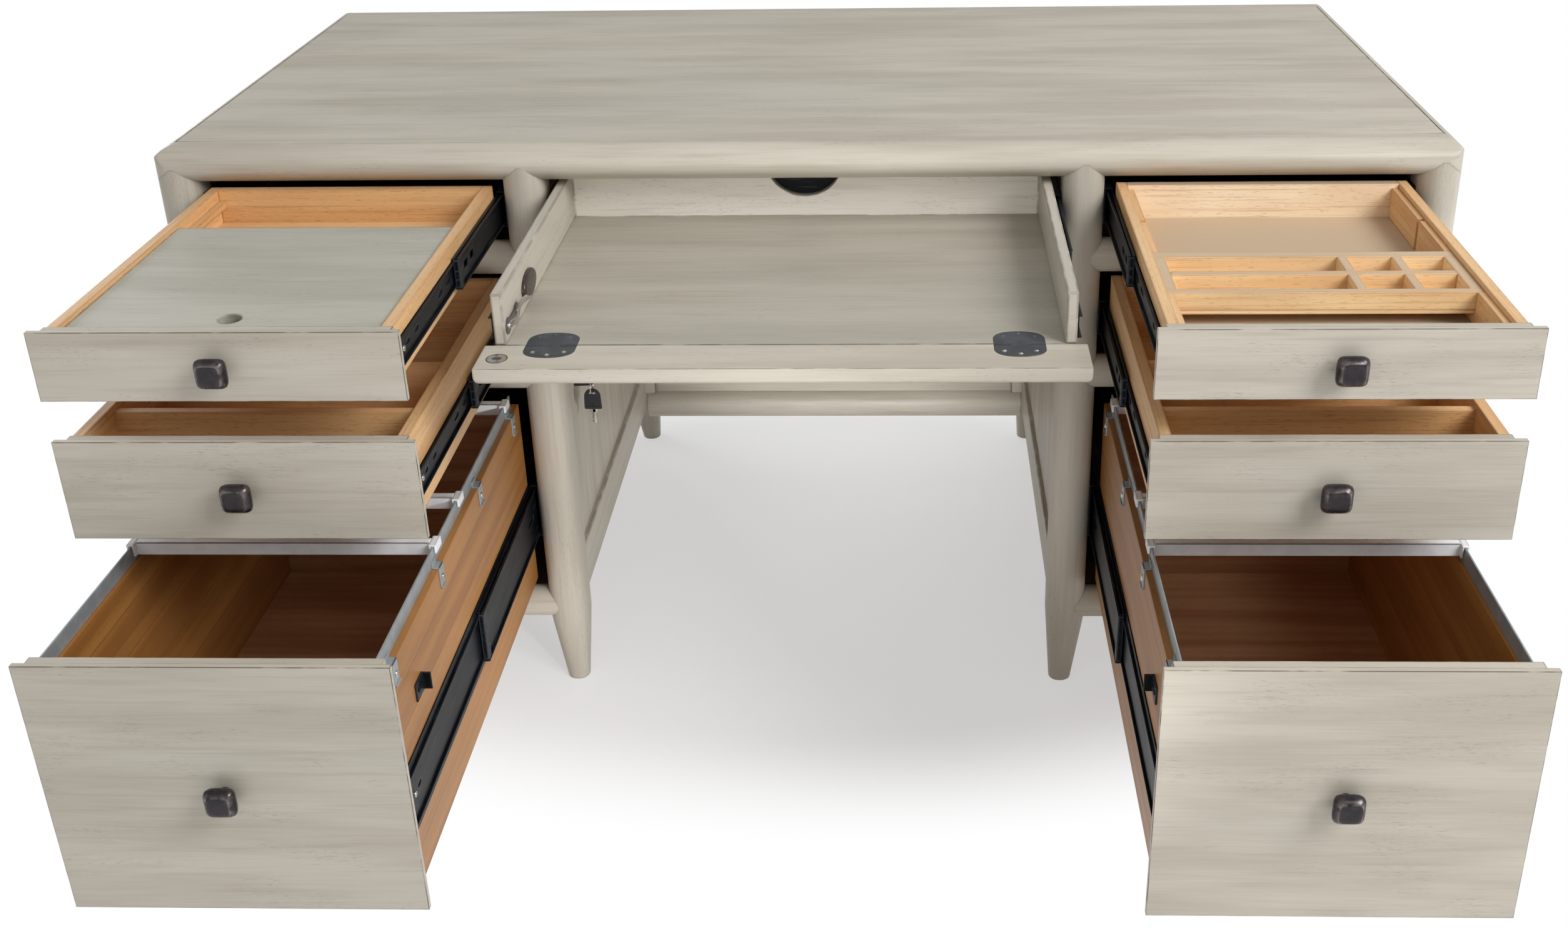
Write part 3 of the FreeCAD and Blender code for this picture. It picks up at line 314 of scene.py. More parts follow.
def top_rail(front):
    """Front or back rail: its section is held behind the rounded plan and under the rounded crown.

    Along the ends both limits move in as a quarter circle does. Painted shade lies as a faint dark band
    where the nose leaves the flat faces, a bell curve of the depth, carried in the glaze mark.
    """
    low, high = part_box("top_front_rail")
    turn = np.sin(np.linspace(0, math.pi / 2, 15))
    x = np.concatenate([-high.x + plan_round * (1 - turn[::-1]), np.linspace(-high.x, high.x, 13)[1:-1],
                        high.x - plan_round * (1 - turn)])
    deep, tall = nose_profile().T
    plan = quarter_drop(np.abs(x) - (high.x - plan_round), plan_round)[:, None]
    crown = nose_height / 2 - quarter_drop(np.abs(x) - (high.x - crown_round), crown_round)[:, None]
    # Painted shade: faint dark bands where the nose turns from the flat top and, broader, from the
    # underside.
    upper_shade_band = 0.16 * np.exp(-((deep - nose_depth) / 0.004) ** 2) * (tall > 0)
    lower_shade_band = 0.3 * np.exp(-((deep - nose_depth) / 0.01) ** 2) * (tall < 0)
    held = softly_most(deep, plan, sanded)
    held[:, [0, -1]] = rail_depth
    y = low.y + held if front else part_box("top_edge_rails")[1].y - held
    z = np.maximum(-softly_most(-tall, -crown, sanded), -nose_height / 2) + high.z - nose_height / 2
    return capped(np.stack([np.broadcast_to(x[:, None], y.shape), y, z], -1), "x", upper_shade_band + lower_shade_band)


piece("top_front_nose_rail", [top_rail(True)], greige, "desk", ["top_front_rail"])


# Side rails of the top: narrow bands beside the panel, rounded over at the upper outer edge like the
# rest of the top and eased below. A dark seam marks where the panel was let in.

edge_band = 0.0177
lower_ease = 0.007


def side_rail(side):
    """Side rail as a section carried along the desk's depth: a quarter circle above, a small one below."""
    low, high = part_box("top_edge_rails")
    out, top, base = high.x, high.z, low.z
    turn = np.linspace(math.pi / 2, 0, 13)
    upper = [out - crown_round, top - crown_round] + crown_round * np.stack([np.cos(turn), np.sin(turn)], 1)
    turn = np.linspace(0, -math.pi / 2, 6)
    lower = [out - lower_ease, base + lower_ease] + lower_ease * np.stack([np.cos(turn), np.sin(turn)], 1)
    inner = out - edge_band
    upper[0, 0] = max(upper[0, 0], inner + wiped)
    start = [[inner, base], [inner, top - seam], [inner + seam * 0.5, top - seam * 0.2]]
    profile = np.concatenate([start, upper, lower]) * [side, 1]
    marks = np.concatenate([seam_marks, np.zeros(len(upper)), [0, 0, 0, 0.1, 0.3, 0.5]])
    return capped(stacked([profile] * 2, [panel_low.y, panel_high.y], 1), "y", marks)


piece("top_side_and_back_rails", [side_rail(1), side_rail(-1), top_rail(False)], greige, "desk",
      ["top_edge_rails"])


# Posts and legs: each front corner post and inner post is one turned-square length that runs down into a
# tapered leg. Its outward corners have a large round and the others are just eased. The top end is
# coped to the underside of the bull nose, with dark glaze left in the joint.

post_width = 0.050
post_depth = 0.046
post_round = 0.022
post_ease = 0.004
leg_height = 0.0985
foot_size = 0.0288
foot_round = 0.013
foot_inset = 0.006
joint_line = 0.0014
hidden = 0.004


def quarter(centre, radius, start, count):
    """Points along a quarter circle that starts at an angle in degrees."""
    turn = np.radians(start + np.linspace(0, 90, count))
    return centre + radius * np.stack([np.cos(turn), np.sin(turn)], 1)


def rounded_square(x0, x1, y0, y1, radii):
    """Points round a rectangle whose corners, front left round to back left, are quarter circles."""
    centres = [(x0 + radii[0], y0 + radii[0]), (x1 - radii[1], y0 + radii[1]),
               (x1 - radii[2], y1 - radii[2]), (x0 + radii[3], y1 - radii[3])]
    return np.concatenate([quarter(centre, radius, start, 7)
                           for centre, radius, start in zip(centres, radii, (180, 270, 0, 90))])


def nose_underside(deep):
    """How far below the top the bull nose's lower face is, at a depth behind the desk's front."""
    profile = nose_profile()
    lower = profile[profile[:, 1] <= 0]
    lower = lower[np.argsort(lower[:, 0])]
    return nose_height / 2 - np.interp(deep, lower[:, 0], lower[:, 1])


def post(x0, x1, outer, front):
    """Post and leg as rings: level rings down to the leg, then a straight change to the small foot.

    The uppermost rings follow the underside of the top rail, so the joint's dark line does too.
    """
    low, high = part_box("top_front_rail")
    y0 = low.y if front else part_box("top_edge_rails")[1].y - post_depth
    y1 = y0 + post_depth
    near, far = (post_round, post_ease) if front else (post_ease, post_round)
    ring = rounded_square(x0, x1, y0, y1, (near, near, far, far))
    foot_x = outer + foot_inset if outer == x0 else outer - foot_inset - foot_size
    foot_y = y0 + foot_inset if front else y1 - foot_inset - foot_size
    foot = rounded_square(foot_x, foot_x + foot_size, foot_y, foot_y + foot_size, (foot_round,) * 4)
    levels = np.array([0, 0.0012, 0.0030, 0.030, 0.065, 0.090, leg_height, 0.107, 0.3, 0.5])
    share = 1 - levels / leg_height
    share = np.clip((np.clip(share, 0, 1) + softly_most(share, 0, 0.06)) / 2, 0, 1)[:, None, None]
    inset = np.where(levels == 0, 0.0010, 0.0)[:, None, None]
    small = foot + (foot.mean(0) - foot) / foot_round * inset
    held_in = ring.mean(0) + (ring - ring.mean(0)) * 0.95
    flats = np.concatenate([ring * (1 - share) + small * share, [ring, ring, ring, held_in]])
    cope = high.z - nose_underside(ring[:, 1] - y0 if front else y1 - ring[:, 1])
    heights = np.concatenate([np.repeat(levels[:, None], len(ring), 1),
                              [cope - joint_line * 2, cope - joint_line, cope,
                               np.minimum(cope + hidden, high.z - nose_height / 2)]])
    marks = np.array([0.8, 0.5] + [0] * 9 + [0.1, 0.6, 1.0])[:, None]
    return capped(stacked(flats, heights, 2), "z", marks)


half_desk = cad_high.x
knee_half = round(-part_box("inner_front_legs")[0].x - post_width, 5)
bay_out = half_desk - post_width
bay_in = knee_half + post_width
outer_run = (bay_out, half_desk, half_desk)
inner_run = (knee_half, bay_in, knee_half)
for name, node, front, runs in (("outer_front_posts", "outer_front_legs", True, [outer_run]),
                                ("inner_front_posts", "inner_front_legs", True, [inner_run]),
                                ("rear_posts", "rear_legs", False, [outer_run, inner_run])):
    forms = []
    for x0, x1, outer in runs:
        forms += [post(x0, x1, outer, front), post(-x1, -x0, -outer, front)]
    piece(name, forms, greige, "desk", [node])


# Rails between the front posts, above, between and below the drawers: turned bars, coped at both ends to
# the rounds of the posts, with glaze left in the joints.

rail_round = 0.021
rail_setback = 0.022
middle_rail_height = 0.4622
y_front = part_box("top_front_rail")[0].y


def circle(count):
    """Points evenly spaced round a circle of radius one."""
    turn = np.linspace(0, 2 * math.pi, count + 1)[:-1]
    return np.stack([np.cos(turn), np.sin(turn)], 1)


def coped_rail(x0, x1, z):
    """Round rail whose end rings follow the posts' rounds: further in by r minus a quarter circle."""
    ring = [y_front + rail_setback, z] + rail_round * circle(32)
    into = quarter_drop(post_round - np.clip(ring[:, 0] - y_front, 0, post_round), post_round)
    start, end = x0 - into, x1 + into
    middle = np.linspace(start + joint_line * 2, end - joint_line * 2, 5)
    x = np.concatenate([[start - hidden, start, start + joint_line], middle,
                        [end - joint_line, end, end + hidden]])
    marks = np.array([0.5, 0.4, 0.1, 0, 0, 0, 0, 0, 0.1, 0.4, 0.5])[:, None]
    return capped(stacked([ring] * len(x), x, 0), "x", marks)


rails_low, rails_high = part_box("drawer_rails")
forms = []
for z in (rails_low.z + rail_round, middle_rail_height, rails_high.z - rail_round):
    forms += [coped_rail(bay_in, bay_out, z), coped_rail(-bay_out, -bay_in, z)]
piece("round_drawer_rails", forms, greige, "desk", ["drawer_rails"])


# Side and back panels of the pedestals and the kneehole: flat panels set back between the posts.

def board(low, high, ease, along, wiped=0.0012, glaze=1.0):
    """A board with rounded edges.

    A box is cut into a grid that is fine near its edges. Each point is then moved on to the surface one
    ease outside the smaller box inside: the nearest place on that box plus the ease times the direction
    from it. The glaze is full on the rounded edge and gone a few millimetres in from it.
    """
    low, high = np.minimum(low, high).astype(float), np.maximum(low, high).astype(float)
    ease = min(ease, 0.45 * (high - low).min())
    fade = np.minimum(wiped, (high - low - 2 * ease) / 3)
    near = ease * (1 - math.tan(math.radians(22.5)))
    inner = np.stack([low, low + near, low + ease, low + ease + fade])
    ticks = np.concatenate([inner, low + high - inner[::-1]])
    rim = np.array([1, 1, 1, 0, 0, 1, 1, 1])
    points, faces = [], []
    for axis in (0, 1, 2):
        i, j = others(axis)
        for level in (low[axis], high[axis]):
            side = np.full((8, 8, 3), level)
            side[..., i] = ticks[:, i, None]
            side[..., j] = ticks[:, j]
            points.append(side.reshape(-1, 3))
            faces.append(grid_faces(8, 8, closed=False) + 64 * len(faces))
    points = np.concatenate(points)
    inside = np.clip(points, low + ease, high - ease)
    outward = points - inside
    points = inside + ease * outward / np.linalg.norm(outward, axis=1, keepdims=True)
    _, first, where = np.unique(np.round(points, 7), axis=0, return_index=True, return_inverse=True)
    marks = np.tile(np.maximum(rim[:, None], rim).ravel(), 6)
    return {"points": points[first], "quads": where.ravel()[np.concatenate(faces)],
            "grain": turned_to(points[first], along), "glaze": marks[first] * glaze}


def both_sides(low, high, ease, along, glaze=1.0):
    """A board on the right of the desk and its mirror image on the left."""
    return [board(low, high, ease, along, glaze=glaze),
            board(np.array(low) * [-1, 1, 1], np.array(high) * [-1, 1, 1], ease, along, glaze=glaze)]


panel_recess = 0.008
panel_thickness = 0.012
panel_ease = 0.0006
panel_in = 0.0010
into_round = 0.010
low_rail_top = 0.190
y_back = cad_high.y
posts_y = (y_front + post_depth - panel_in, y_back - post_depth + panel_in)


def between_posts(x0, x1, base, top, ease, along, glaze):
    """Boards that run from the front posts to the rear ones, one on each side of the desk."""
    return both_sides((x0, posts_y[0], base), (x1, posts_y[1], top), ease, along, glaze)


def across_back(recess, thickness, base, top, ease, glaze):
    """Boards across the back of both pedestals, let into the rounds of the posts."""
    face = y_back - recess
    return both_sides((bay_in - into_round, face - thickness, base), (bay_out + into_round, face, top), ease,
                      "x", glaze)


rail_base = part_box("top_front_rail")[0].z
end_face = half_desk - panel_recess
knee_face = knee_half + panel_recess
panel_top = rail_base + panel_in
forms = between_posts(end_face - panel_thickness, end_face, low_rail_top, panel_top, panel_ease, "z", 0.5)
forms += across_back(panel_recess, panel_thickness, low_rail_top, panel_top, panel_ease, 0.5)
piece("pedestal_end_and_back_panels", forms, greige, "desk", ["pedestal_panels"])
piece("kneehole_side_panels", between_posts(knee_face, knee_face + panel_thickness, low_rail_top,
                                            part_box("kneehole_panels")[1].z, panel_ease, "z", 0.5),
      greige, "desk", ["kneehole_panels"])


# Flat lower rails of the panels, thicker than the panels and with eased edges, and the round lower rail
# of the modesty panel, which is set well back in the kneehole between two short corner stiles.

low_rail_base = 0.124
low_rail_thickness = 0.020
low_rail_recess = 0.002
low_rail_ease = 0.003
modesty_rail_round = 0.024
modesty_rail_back = 0.151
out = half_desk - low_rail_recess
knee = knee_half + low_rail_recess
rail_span = (low_rail_base, low_rail_top, low_rail_ease)
forms = between_posts(out - low_rail_thickness, out, *rail_span, "y", 0.6)
forms += between_posts(knee, knee + low_rail_thickness, *rail_span, "y", 0.6)
forms += across_back(low_rail_recess, low_rail_thickness, *rail_span, 0.6)
modesty_y = y_back - modesty_rail_back + modesty_rail_round
modesty_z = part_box("lower_rails")[0].z + modesty_rail_round
ring = [modesty_y, modesty_z] + modesty_rail_round * circle(40)
stops = [-knee, -knee + joint_line, -knee + 2 * joint_line, knee - 2 * joint_line, knee - joint_line, knee]
forms.append(capped(stacked([ring] * 6, stops, 0), "x", np.array([1, 0.3, 0, 0, 0.3, 1])[:, None]))
piece("flat_and_round_lower_rails", forms, greige, "desk", ["lower_rails"])

modesty_thickness = 0.012
stile_width = 0.024
stile_depth = 0.020
stile_lift = 0.004
stile_ease = 0.0015
modesty_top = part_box("modesty_panel")[1].z
face = modesty_y - modesty_thickness / 2
stile_base = modesty_z + modesty_rail_round + stile_lift
forms = [board((-knee_face, face, modesty_z), (knee_face, face + modesty_thickness, modesty_top),
               panel_ease, "x")]
forms += both_sides((knee_face - stile_width, face - stile_depth, stile_base),
                    (knee_face, face, modesty_top), stile_ease, "z")
piece("modesty_panel_and_stiles", forms, greige, "desk", ["modesty_panel"])


# Drawer fronts: boards with a thin lip all round over a smaller inner block, cut from one thickness. The
# lip's edge and the corner behind it keep a broken line of dark glaze.

lip_depth = 0.006
block_step = 0.010
block_drop = 0.002
lip_ease = 0.0005
lip_wiped = 0.0004
lip_glaze = 1.15
block_ease = 0.0006
block_wiped = 0.0009
sides = ("left", "right")
drawers = [(side, level) for side in sides for level in ("top", "middle", "file")]

for side, level in drawers:
    low, high = (np.array(corner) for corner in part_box(f"{side}_{level}_front"))
    lip = board(low, [high[0], low[1] + lip_depth, high[2]], lip_ease, "x", lip_wiped, lip_glaze)
    block = board(low + [block_step, lip_depth, block_step], high - [block_step, 0, block_drop],
                  block_ease, "x", block_wiped)
    piece(f"{side}_{level}_drawer_front", [lip, block], greige, f"{side}_{level}_drawer",
          [f"{side}_{level}_front"])


# Knobs: cast square pillows on round necks, finished as dark pewter that is rubbed bright where fingers
# touch it, along the rim of the flat face and down the corners.

def speckled(add, scale, detail=2.0):
    """Noise over the object's own coordinates; the scale is about how many patches lie in a metre."""
    place = add("TexCoord").outputs["Object"]
    return add("TexNoise", {"Vector": place, "Scale": scale, "Detail": detail}).outputs["Fac"]


def pewter_finish():
    """Dark warm grey metal with a fine cast mottle, paler where the mark that it carries is high."""
    material, shader, add = new_finish("pewter_knob_metal")
    mottle = speckled(add, 900.0, 3.0)
    cloud = speckled(add, 140.0)
    tone = two_toned(add, cloud, (0.35, 0.65), (46, 42, 46), (53, 49, 53))
    tone = tinted(add, tone, (104, 96, 96), 0.08, mottle, (0.5, 0.7))
    tone = tinted(add, tone, (140, 128, 124), carried(add, "glaze", "Fac"), cloud, (0.3, 0.6))
    shader.inputs["Metallic"].default_value = 0.6
    surfaced(add, shader, tone, (mottle, 0.20, 0.34), mottle, 0.12, 0.0003)
    return material


pewter = pewter_finish()
neck_round = 0.007
neck_length = 0.007
squareness = 5.2
pillow = np.array([[11.5, 0], [12.4, 0.5], [14.0, 2.6], [15.1, 5.4], [15.5, 8.0], [15.0, 10.2], [13.8, 12.4],
                   [12.2, 14.2], [11.4, 14.9], [10.9, 15.3], [10.3, 15.6], [7.0, 15.8], [3.0, 15.8]]) / 1000
rubbed_rim = np.array([0, 0, 0, 0, 0, 0, 0.1, 0.4, 1.0, 0.7, 0.1, 0, 0])


def knob(x, y, z):
    """Knob on a front's face at y: a neck, then rings round the pillow.

    Each ring is a squircle: its two coordinates, each raised to the squareness, add up to its half
    width raised to the same, so its corners are round and its sides nearly straight.
    """
    ring = circle(40)
    squircle = ring / ((np.abs(ring) ** squareness).sum(1) ** (1 / squareness))[:, None]
    rings = np.concatenate([[ring * neck_round] * 3, pillow[:, :1, None] * squircle])
    away = np.concatenate([[0, neck_length * 0.5, neck_length], neck_length + pillow[:, 1]])
    corner = np.abs(2 * ring[:, 0] * ring[:, 1]) ** 3
    marks = np.zeros(rings.shape[:2])
    marks[3:] = rubbed_rim[:, None] * (0.55 + 0.45 * corner)
    marks[3:11] += 0.2 * corner
    return capped(stacked([x, z] + rings, y - away, 1), "x", marks)


for side, level in drawers:
    low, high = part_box(f"{side}_{level}_knob")
    piece(f"{side}_{level}_square_knob", [knob((low.x + high.x) / 2, high.y, (low.z + high.z) / 2)], pewter,
          f"{side}_{level}_drawer", [f"{side}_{level}_knob"], sharp=50)


# Drawer boxes: sides and back of light solid wood, a floor let into grooves, all under clear lacquer. The
# middle drawers have two cross dividers, the left top one runners for its lid, and the right top one
# slotted liner strips on which the organizer rests.

strip_width = 0.047


def honey_finish(name, light, dark, dash=0.4, raw_grey_and_sky_sheen=0.0, glued=0.0):
    """Straight-grained honey wood: broad pale and amber bands, fine lines and short dark dashes.

    The value after dash is how far faces that look up go to ash grey: partly planed, less lacquered wood,
    partly a painted sheen of the pale sky. glued is how clearly the strips that a tall side is glued up from
    show, each with its own tone and a dark joint.
    """
    material, shader, add = new_finish(name)
    grain = carried(add, "grain", "Vector")
    lines = drawn_out(add, grain, 0.15, 0.0022)
    dashes = drawn_out(add, grain, 0.011, 0.0009, 1.0)
    tone = two_toned(add, drawn_out(add, grain, 0.45, 0.020, 3.0), (0.34, 0.66), dark, light)
    tone = tinted(add, tone, (196, 140, 86), 0.22, drawn_out(add, grain, 0.20, 0.10), (0.45, 0.70))
    tone = tinted(add, tone, (176, 116, 66), 0.35, lines, (0.52, 0.72))
    tone = tinted(add, tone, (140, 84, 44), dash, dashes, (0.63, 0.70))
    if glued:
        height = add("SeparateXYZ", {0: grain}).outputs["Z"]
        count = product(add, height, 1 / strip_width)
        number = add("Math", {0: count}, operation="FLOOR").outputs[0]
        own = add("TexWhiteNoise", {"W": number}, noise_dimensions="1D").outputs["Value"]
        tone = tinted(add, tone, (150, 98, 54), glued * 0.30, own)
        part = add("Math", {0: count}, operation="FRACT").outputs[0]
        tone = tinted(add, tone, (112, 66, 34), glued * 0.65, part, (0.035, 0.010))
    # Faces that look up go ash grey: partly planed wood, partly a painted sheen of the sky.
    if raw_grey_and_sky_sheen:
        up = add("SeparateXYZ", {0: add("NewGeometry").outputs["Normal"]}).outputs["Z"]
        tone = tinted(add, tone, (190, 168, 142), raw_grey_and_sky_sheen, up, (0.8, 0.95))
    tone = tinted(add, tone, (150, 92, 50), 0.30, carried(add, "glaze", "Fac"))
    surfaced(add, shader, tone, (lines, 0.36, 0.50), dashes, 0.10, 0.0003)
    return material


honey = honey_finish("honey_drawer_wood", (240, 198, 144), (226, 176, 120), raw_grey_and_sky_sheen=0.2)
honey_file = honey_finish("deep_honey_drawer_wood", (176, 124, 64), (150, 100, 48), glued=1.0)
honey_inner = honey_finish("deep_honey_floor_wood", (192, 148, 112), (166, 120, 86), glued=0.6)
honey_pale = honey_finish("pale_honey_drawer_wood", (255, 238, 208), (252, 226, 190), 0.3, raw_grey_and_sky_sheen=0.95)
board_side = 0.012
floor_board = 0.006
floor_lift = 0.010
groove = 0.003
board_ease = 0.0008
side_ease = 0.0010
floor_ease = 0.0003
floor_wiped = 0.001


def box_boards(low, high):
    """Two sides, a back between them and a floor: the boards of one drawer, low to high corner."""
    x0, y0, z0 = low
    x1, y1, z1 = high
    left, right, deck = x0 + board_side, x1 - board_side, z0 + floor_lift
    return [board(low, (left, y1, z1), side_ease, "y"),
            board((right, y0, z0), high, side_ease, "y"),
            board((left, y1 - board_side, z0), (right, y1, z1), board_ease, "x"),
            board((left - groove, y0, deck), (right + groove, y1 - board_side, deck + floor_board),
                  floor_ease, "x", floor_wiped)]


divider_setbacks = (0.086, 0.195)
divider_thickness = 0.010
divider_drop = 0.006
runner = 0.008
liner_slot = (0.303, 0.309)
liner_gap = 0.0006
own_floors = {("right", "top"): honey_pale, ("left", "file"): honey_inner, ("right", "file"): honey_inner}
for side, level in drawers:
    low, high = (np.array(corner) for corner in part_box(f"{side}_{level}_box"))
    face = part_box(f"{side}_{level}_front")[0].y
    forms = box_boards(low, high)
    inner = (low[0] + board_side, high[0] - board_side)
    back = high[1] - board_side
    deck = low[2] + floor_lift + floor_board
    stretches = []
    if level == "middle":
        for y in face + np.array(divider_setbacks):
            forms.append(board((inner[0] - groove, y - divider_thickness / 2, deck),
                               (inner[1] + groove, y + divider_thickness / 2, high[2] - divider_drop),
                               board_ease, "x"))
    elif (side, level) == ("left", "top"):
        lid_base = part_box("left_top_lid")[0].z
        stretches = [(low[1], back, lid_base - runner, lid_base)]
    elif level == "top":
        rest_low, rest_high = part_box("right_top_organizer")
        start, end = rest_low.y - liner_gap, rest_high.y + liner_gap
        stretches = [(low[1], start, deck, rest_high.z), (start, end, deck, rest_low.z),
                     (end, face + liner_slot[0], deck, rest_high.z),
                     (face + liner_slot[1], back, deck, rest_high.z)]
    for x0, x1 in ((inner[0], inner[0] + runner), (inner[1] - runner, inner[1])):
        for y0, y1, z0, z1 in stretches:
            forms.append(board((x0, y0, z0), (x1, y1, z1), board_ease, "y"))
    if (side, level) in own_floors:
        piece(f"{side}_{level}_drawer_back_and_floor", forms[2:4], own_floors[side, level],
              f"{side}_{level}_drawer")
        del forms[2:4]
    piece(f"{side}_{level}_drawer_box", forms, honey_file if level == "file" else honey,
          f"{side}_{level}_drawer", [f"{side}_{level}_box"])


# Sliding lid of the left top drawer: a thin board in the outside's finish, a little cooler, with a round
# finger hole bored through near its front edge and glaze left dark round the hole.

hole_round = 0.011
hole_setback = 0.047
greige_lid = greige_finish("greige_lid_lacquer", (188, 186, 173), (176, 173, 160))


def holed(outer, hole, axis, low, high, ease, along, mark=1.0):
    """A plate between two levels of an axis, from two rings of points that pair off: edge and hole.

    Rings run down the hole, over both faces and round the edge; each rim is set back by the ease.
    """
    inward = hole - outer
    length = np.linalg.norm(inward, axis=1, keepdims=True)
    step = inward / length
    lip = np.minimum(0.003, length * 0.3)
    flats = (hole, hole, hole - step * ease, hole - step * lip, outer + step * lip, outer + step * ease,
             outer, outer, hole)
    levels = (low, high - ease, high, high, high, high, high - ease, low, low)
    points = stacked(flats, levels, axis).reshape(-1, 3)
    marks = np.repeat([0.4, 1, 1, 0, 0, 1, 1, 0.3, 0.4], len(outer)) * mark
    return {"points": points, "quads": grid_faces(len(flats), len(outer)),
            "grain": turned_to(points, along), "glaze": marks}


def edge_rays(low, high, centre, count=48):
    """Directions from a place in a rectangle, its corners' among them, and where they leave it."""
    corners = np.array([low, [high[0], low[1]], high, [low[0], high[1]]]) - centre
    turn = np.append(np.linspace(-math.pi, math.pi, count + 1)[:-1], np.arctan2(*corners.T[::-1]))
    turn = np.unique(np.round(turn, 6))
    way = np.stack([np.cos(turn), np.sin(turn)], 1)
    room = np.where(way > 0, high - centre, centre - low)
    return way, centre + way * (room / np.maximum(np.abs(way), 1e-9)).min(1)[:, None]


low, high = (np.array(corner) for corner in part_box("left_top_lid"))
hole_centre = np.array([(low[0] + high[0]) / 2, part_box("left_top_front")[0].y + hole_setback])
way, lid_edge = edge_rays(low[:2], high[:2], hole_centre)
lid = holed(lid_edge, hole_centre + way * hole_round, 2, low[2], high[2], board_ease, "x")
piece("left_top_drawer_lid", [lid], greige_lid, "sliding_lid", ["left_top_lid"])


# Organizer of the right top drawer: a small tray built from butted strips round two rows of cells, one
# long and two short ones in each row. It lies loose on the liner strips and lifts out.

honey_strips = honey_finish("pale_organizer_wood", (255, 226, 178), (244, 204, 150), 0.3, raw_grey_and_sky_sheen=0.8)
strip = 0.009
web = 0.010
back_strip = 0.014
end_strip = 0.012
strip_ease = 0.0007
tray_floor = 0.004
tray_floor_lap = 0.0001
tray_floor_ease = 0.0004
short_cell = 0.047
end_cell = 0.0444
low, high = (np.array(corner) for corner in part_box("right_top_organizer"))
deck = low[2] + tray_floor
row_y = (low[1] + strip, high[1] - back_strip)
middle_y = sum(row_y) / 2
inner = (low[0] + end_strip, high[0] - end_strip)
last_web = inner[1] - end_cell - web
strips = [(low[0], high[0], low[1], row_y[0], "x"), (low[0], high[0], row_y[1], high[1], "x"),
          (low[0], inner[0], *row_y, "y"), (inner[1], high[0], *row_y, "y"),
          (*inner, middle_y - strip / 2, middle_y + strip / 2, "x")]
for x in (last_web - short_cell - web, last_web):
    strips += [(x, x + web, row_y[0], middle_y - strip / 2, "y"),
               (x, x + web, middle_y + strip / 2, row_y[1], "y")]
forms = [board(low, (high[0], high[1], deck + tray_floor_lap), tray_floor_ease, "x")]
forms += [board((x0, y0, deck), (x1, y1, high[2]), strip_ease, along, wiped=wiped)
          for x0, x1, y0, y1, along in strips]
piece("right_top_drawer_organizer", forms, honey_strips, "organizer", ["right_top_organizer"])


# Slides of the drawers and the tray: ball bearing slides of three nested channels, rolled from black
# coated steel. The case member is screwed inside the case, the middle one runs half way out, and the inner
# one is screwed to the drawer. Webs are pierced with slots and windows, and screw heads show in them.

def coated_steel(name, tone, coords=None):
    """Black coated steel: glossy, faintly clouded, with fine scuffs and pale dust along its length."""
    material, shader, add = new_finish(name)
    place = coords(add) if coords else carried(add, "grain", "Vector")
    scuff = drawn_out(add, place, 0.05, 0.0012, 3.0)
    cloud = drawn_out(add, place, 0.09, 0.02)
    worn = (96, 102, 112)
    mixed = two_toned(add, cloud, (0.35, 0.7), tone, [part * 1.5 for part in tone])
    mixed = tinted(add, mixed, worn, 0.45, scuff, (0.60, 0.72))
    mixed = tinted(add, mixed, worn, 0.35, carried(add, "glaze", "Fac"))
    shader.inputs["Metallic"].default_value = 0.1
    shader.inputs["Specular IOR Level"].default_value = 0.12
    surfaced(add, shader, mixed, (cloud, 0.28, 0.48), scuff, 0.08, 0.0003)
    return material


def plated_steel(name, tone, shine, metal=0.85, dull=0.86):
    """Plated steel: bright metal with fine brush lines and soft cloudy patches."""
    material, shader, add = new_finish(name)
    lines = drawn_out(add, add("TexCoord").outputs["Object"], 0.030, 0.0008)
    mixed = two_toned(add, speckled(add, 60.0), (0.35, 0.65), [part * dull for part in tone], tone)
    shader.inputs["Metallic"].default_value = metal
    surfaced(add, shader, mixed, (lines, shine, shine + 0.16), lines, 0.06, 0.0002)
    return material


black_steel = coated_steel("black_slide_steel", (13, 15, 19))
nickel = plated_steel("bright_nickel", (206, 202, 196), 0.16)
slide_gauge = 0.0015
ball_gap = 0.0028
middle_flange = 0.0078
drawer_flange = 0.0045
hole_shade_gauge = 0.0003
cut_ease = 0.00004
hole_margin = 0.004
screw_places = (0.016, 0.345)
slide_screw = (0.0034, 0.0016)


def stadium(centre, way, straight, radius):
    """Points round a slot with round ends: a circle whose halves are pulled apart by the straight part."""
    return centre + way * radius + np.sign(np.round(way[:, :1], 6)) * [[straight, 0]]


def window(centre, way, half_long, half_high):
    """Points round a window: a squircle, whose coordinates over its halves, to the sixth, add up to one."""
    ring = way * [half_high, half_long]
    ring /= np.linalg.norm(ring, axis=1, keepdims=True)
    return centre + ring * [half_long, half_high] / ((np.abs(ring) ** 6).sum(1) ** (1 / 6))[:, None]


def pierced_web(x0, x1, low, high, holes):
    """Web made of cells end to end, each with a slot or a window, and plain lengths between them.

    holes lists each slot's distance from the front end, half its straight part and its radius. A radius
    below zero stands for a window: the second and third value are then its halves.
    """
    start = low[1]
    forms, plain = [], []
    for place, straight, radius in holes:
        y = low[1] + place
        reach = straight + max(radius, 0) + hole_margin
        a, b = y - reach, y + reach
        if a < start or b > high[1]:
            continue
        plain.append((start, a))
        centre = np.array([y, (low[2] + high[2]) / 2])
        way, edge = edge_rays(np.array([a, low[2]]), np.array([b, high[2]]), centre, 24)
        outline = window if radius < 0 else stadium
        hole = outline(centre, way, straight, abs(radius))
        cell = holed(edge, hole, 0, x0, x1, cut_ease, "y", mark=0.5)
        cell["glaze"][3 * len(way):] = 0.0
        forms.append(cell)
        start = b
    return forms + [board((x0, a, low[2]), (x1, b, high[2]), cut_ease, "y", glaze=0.0)
                    for a, b in plain + [(start, high[1])] if b > a]


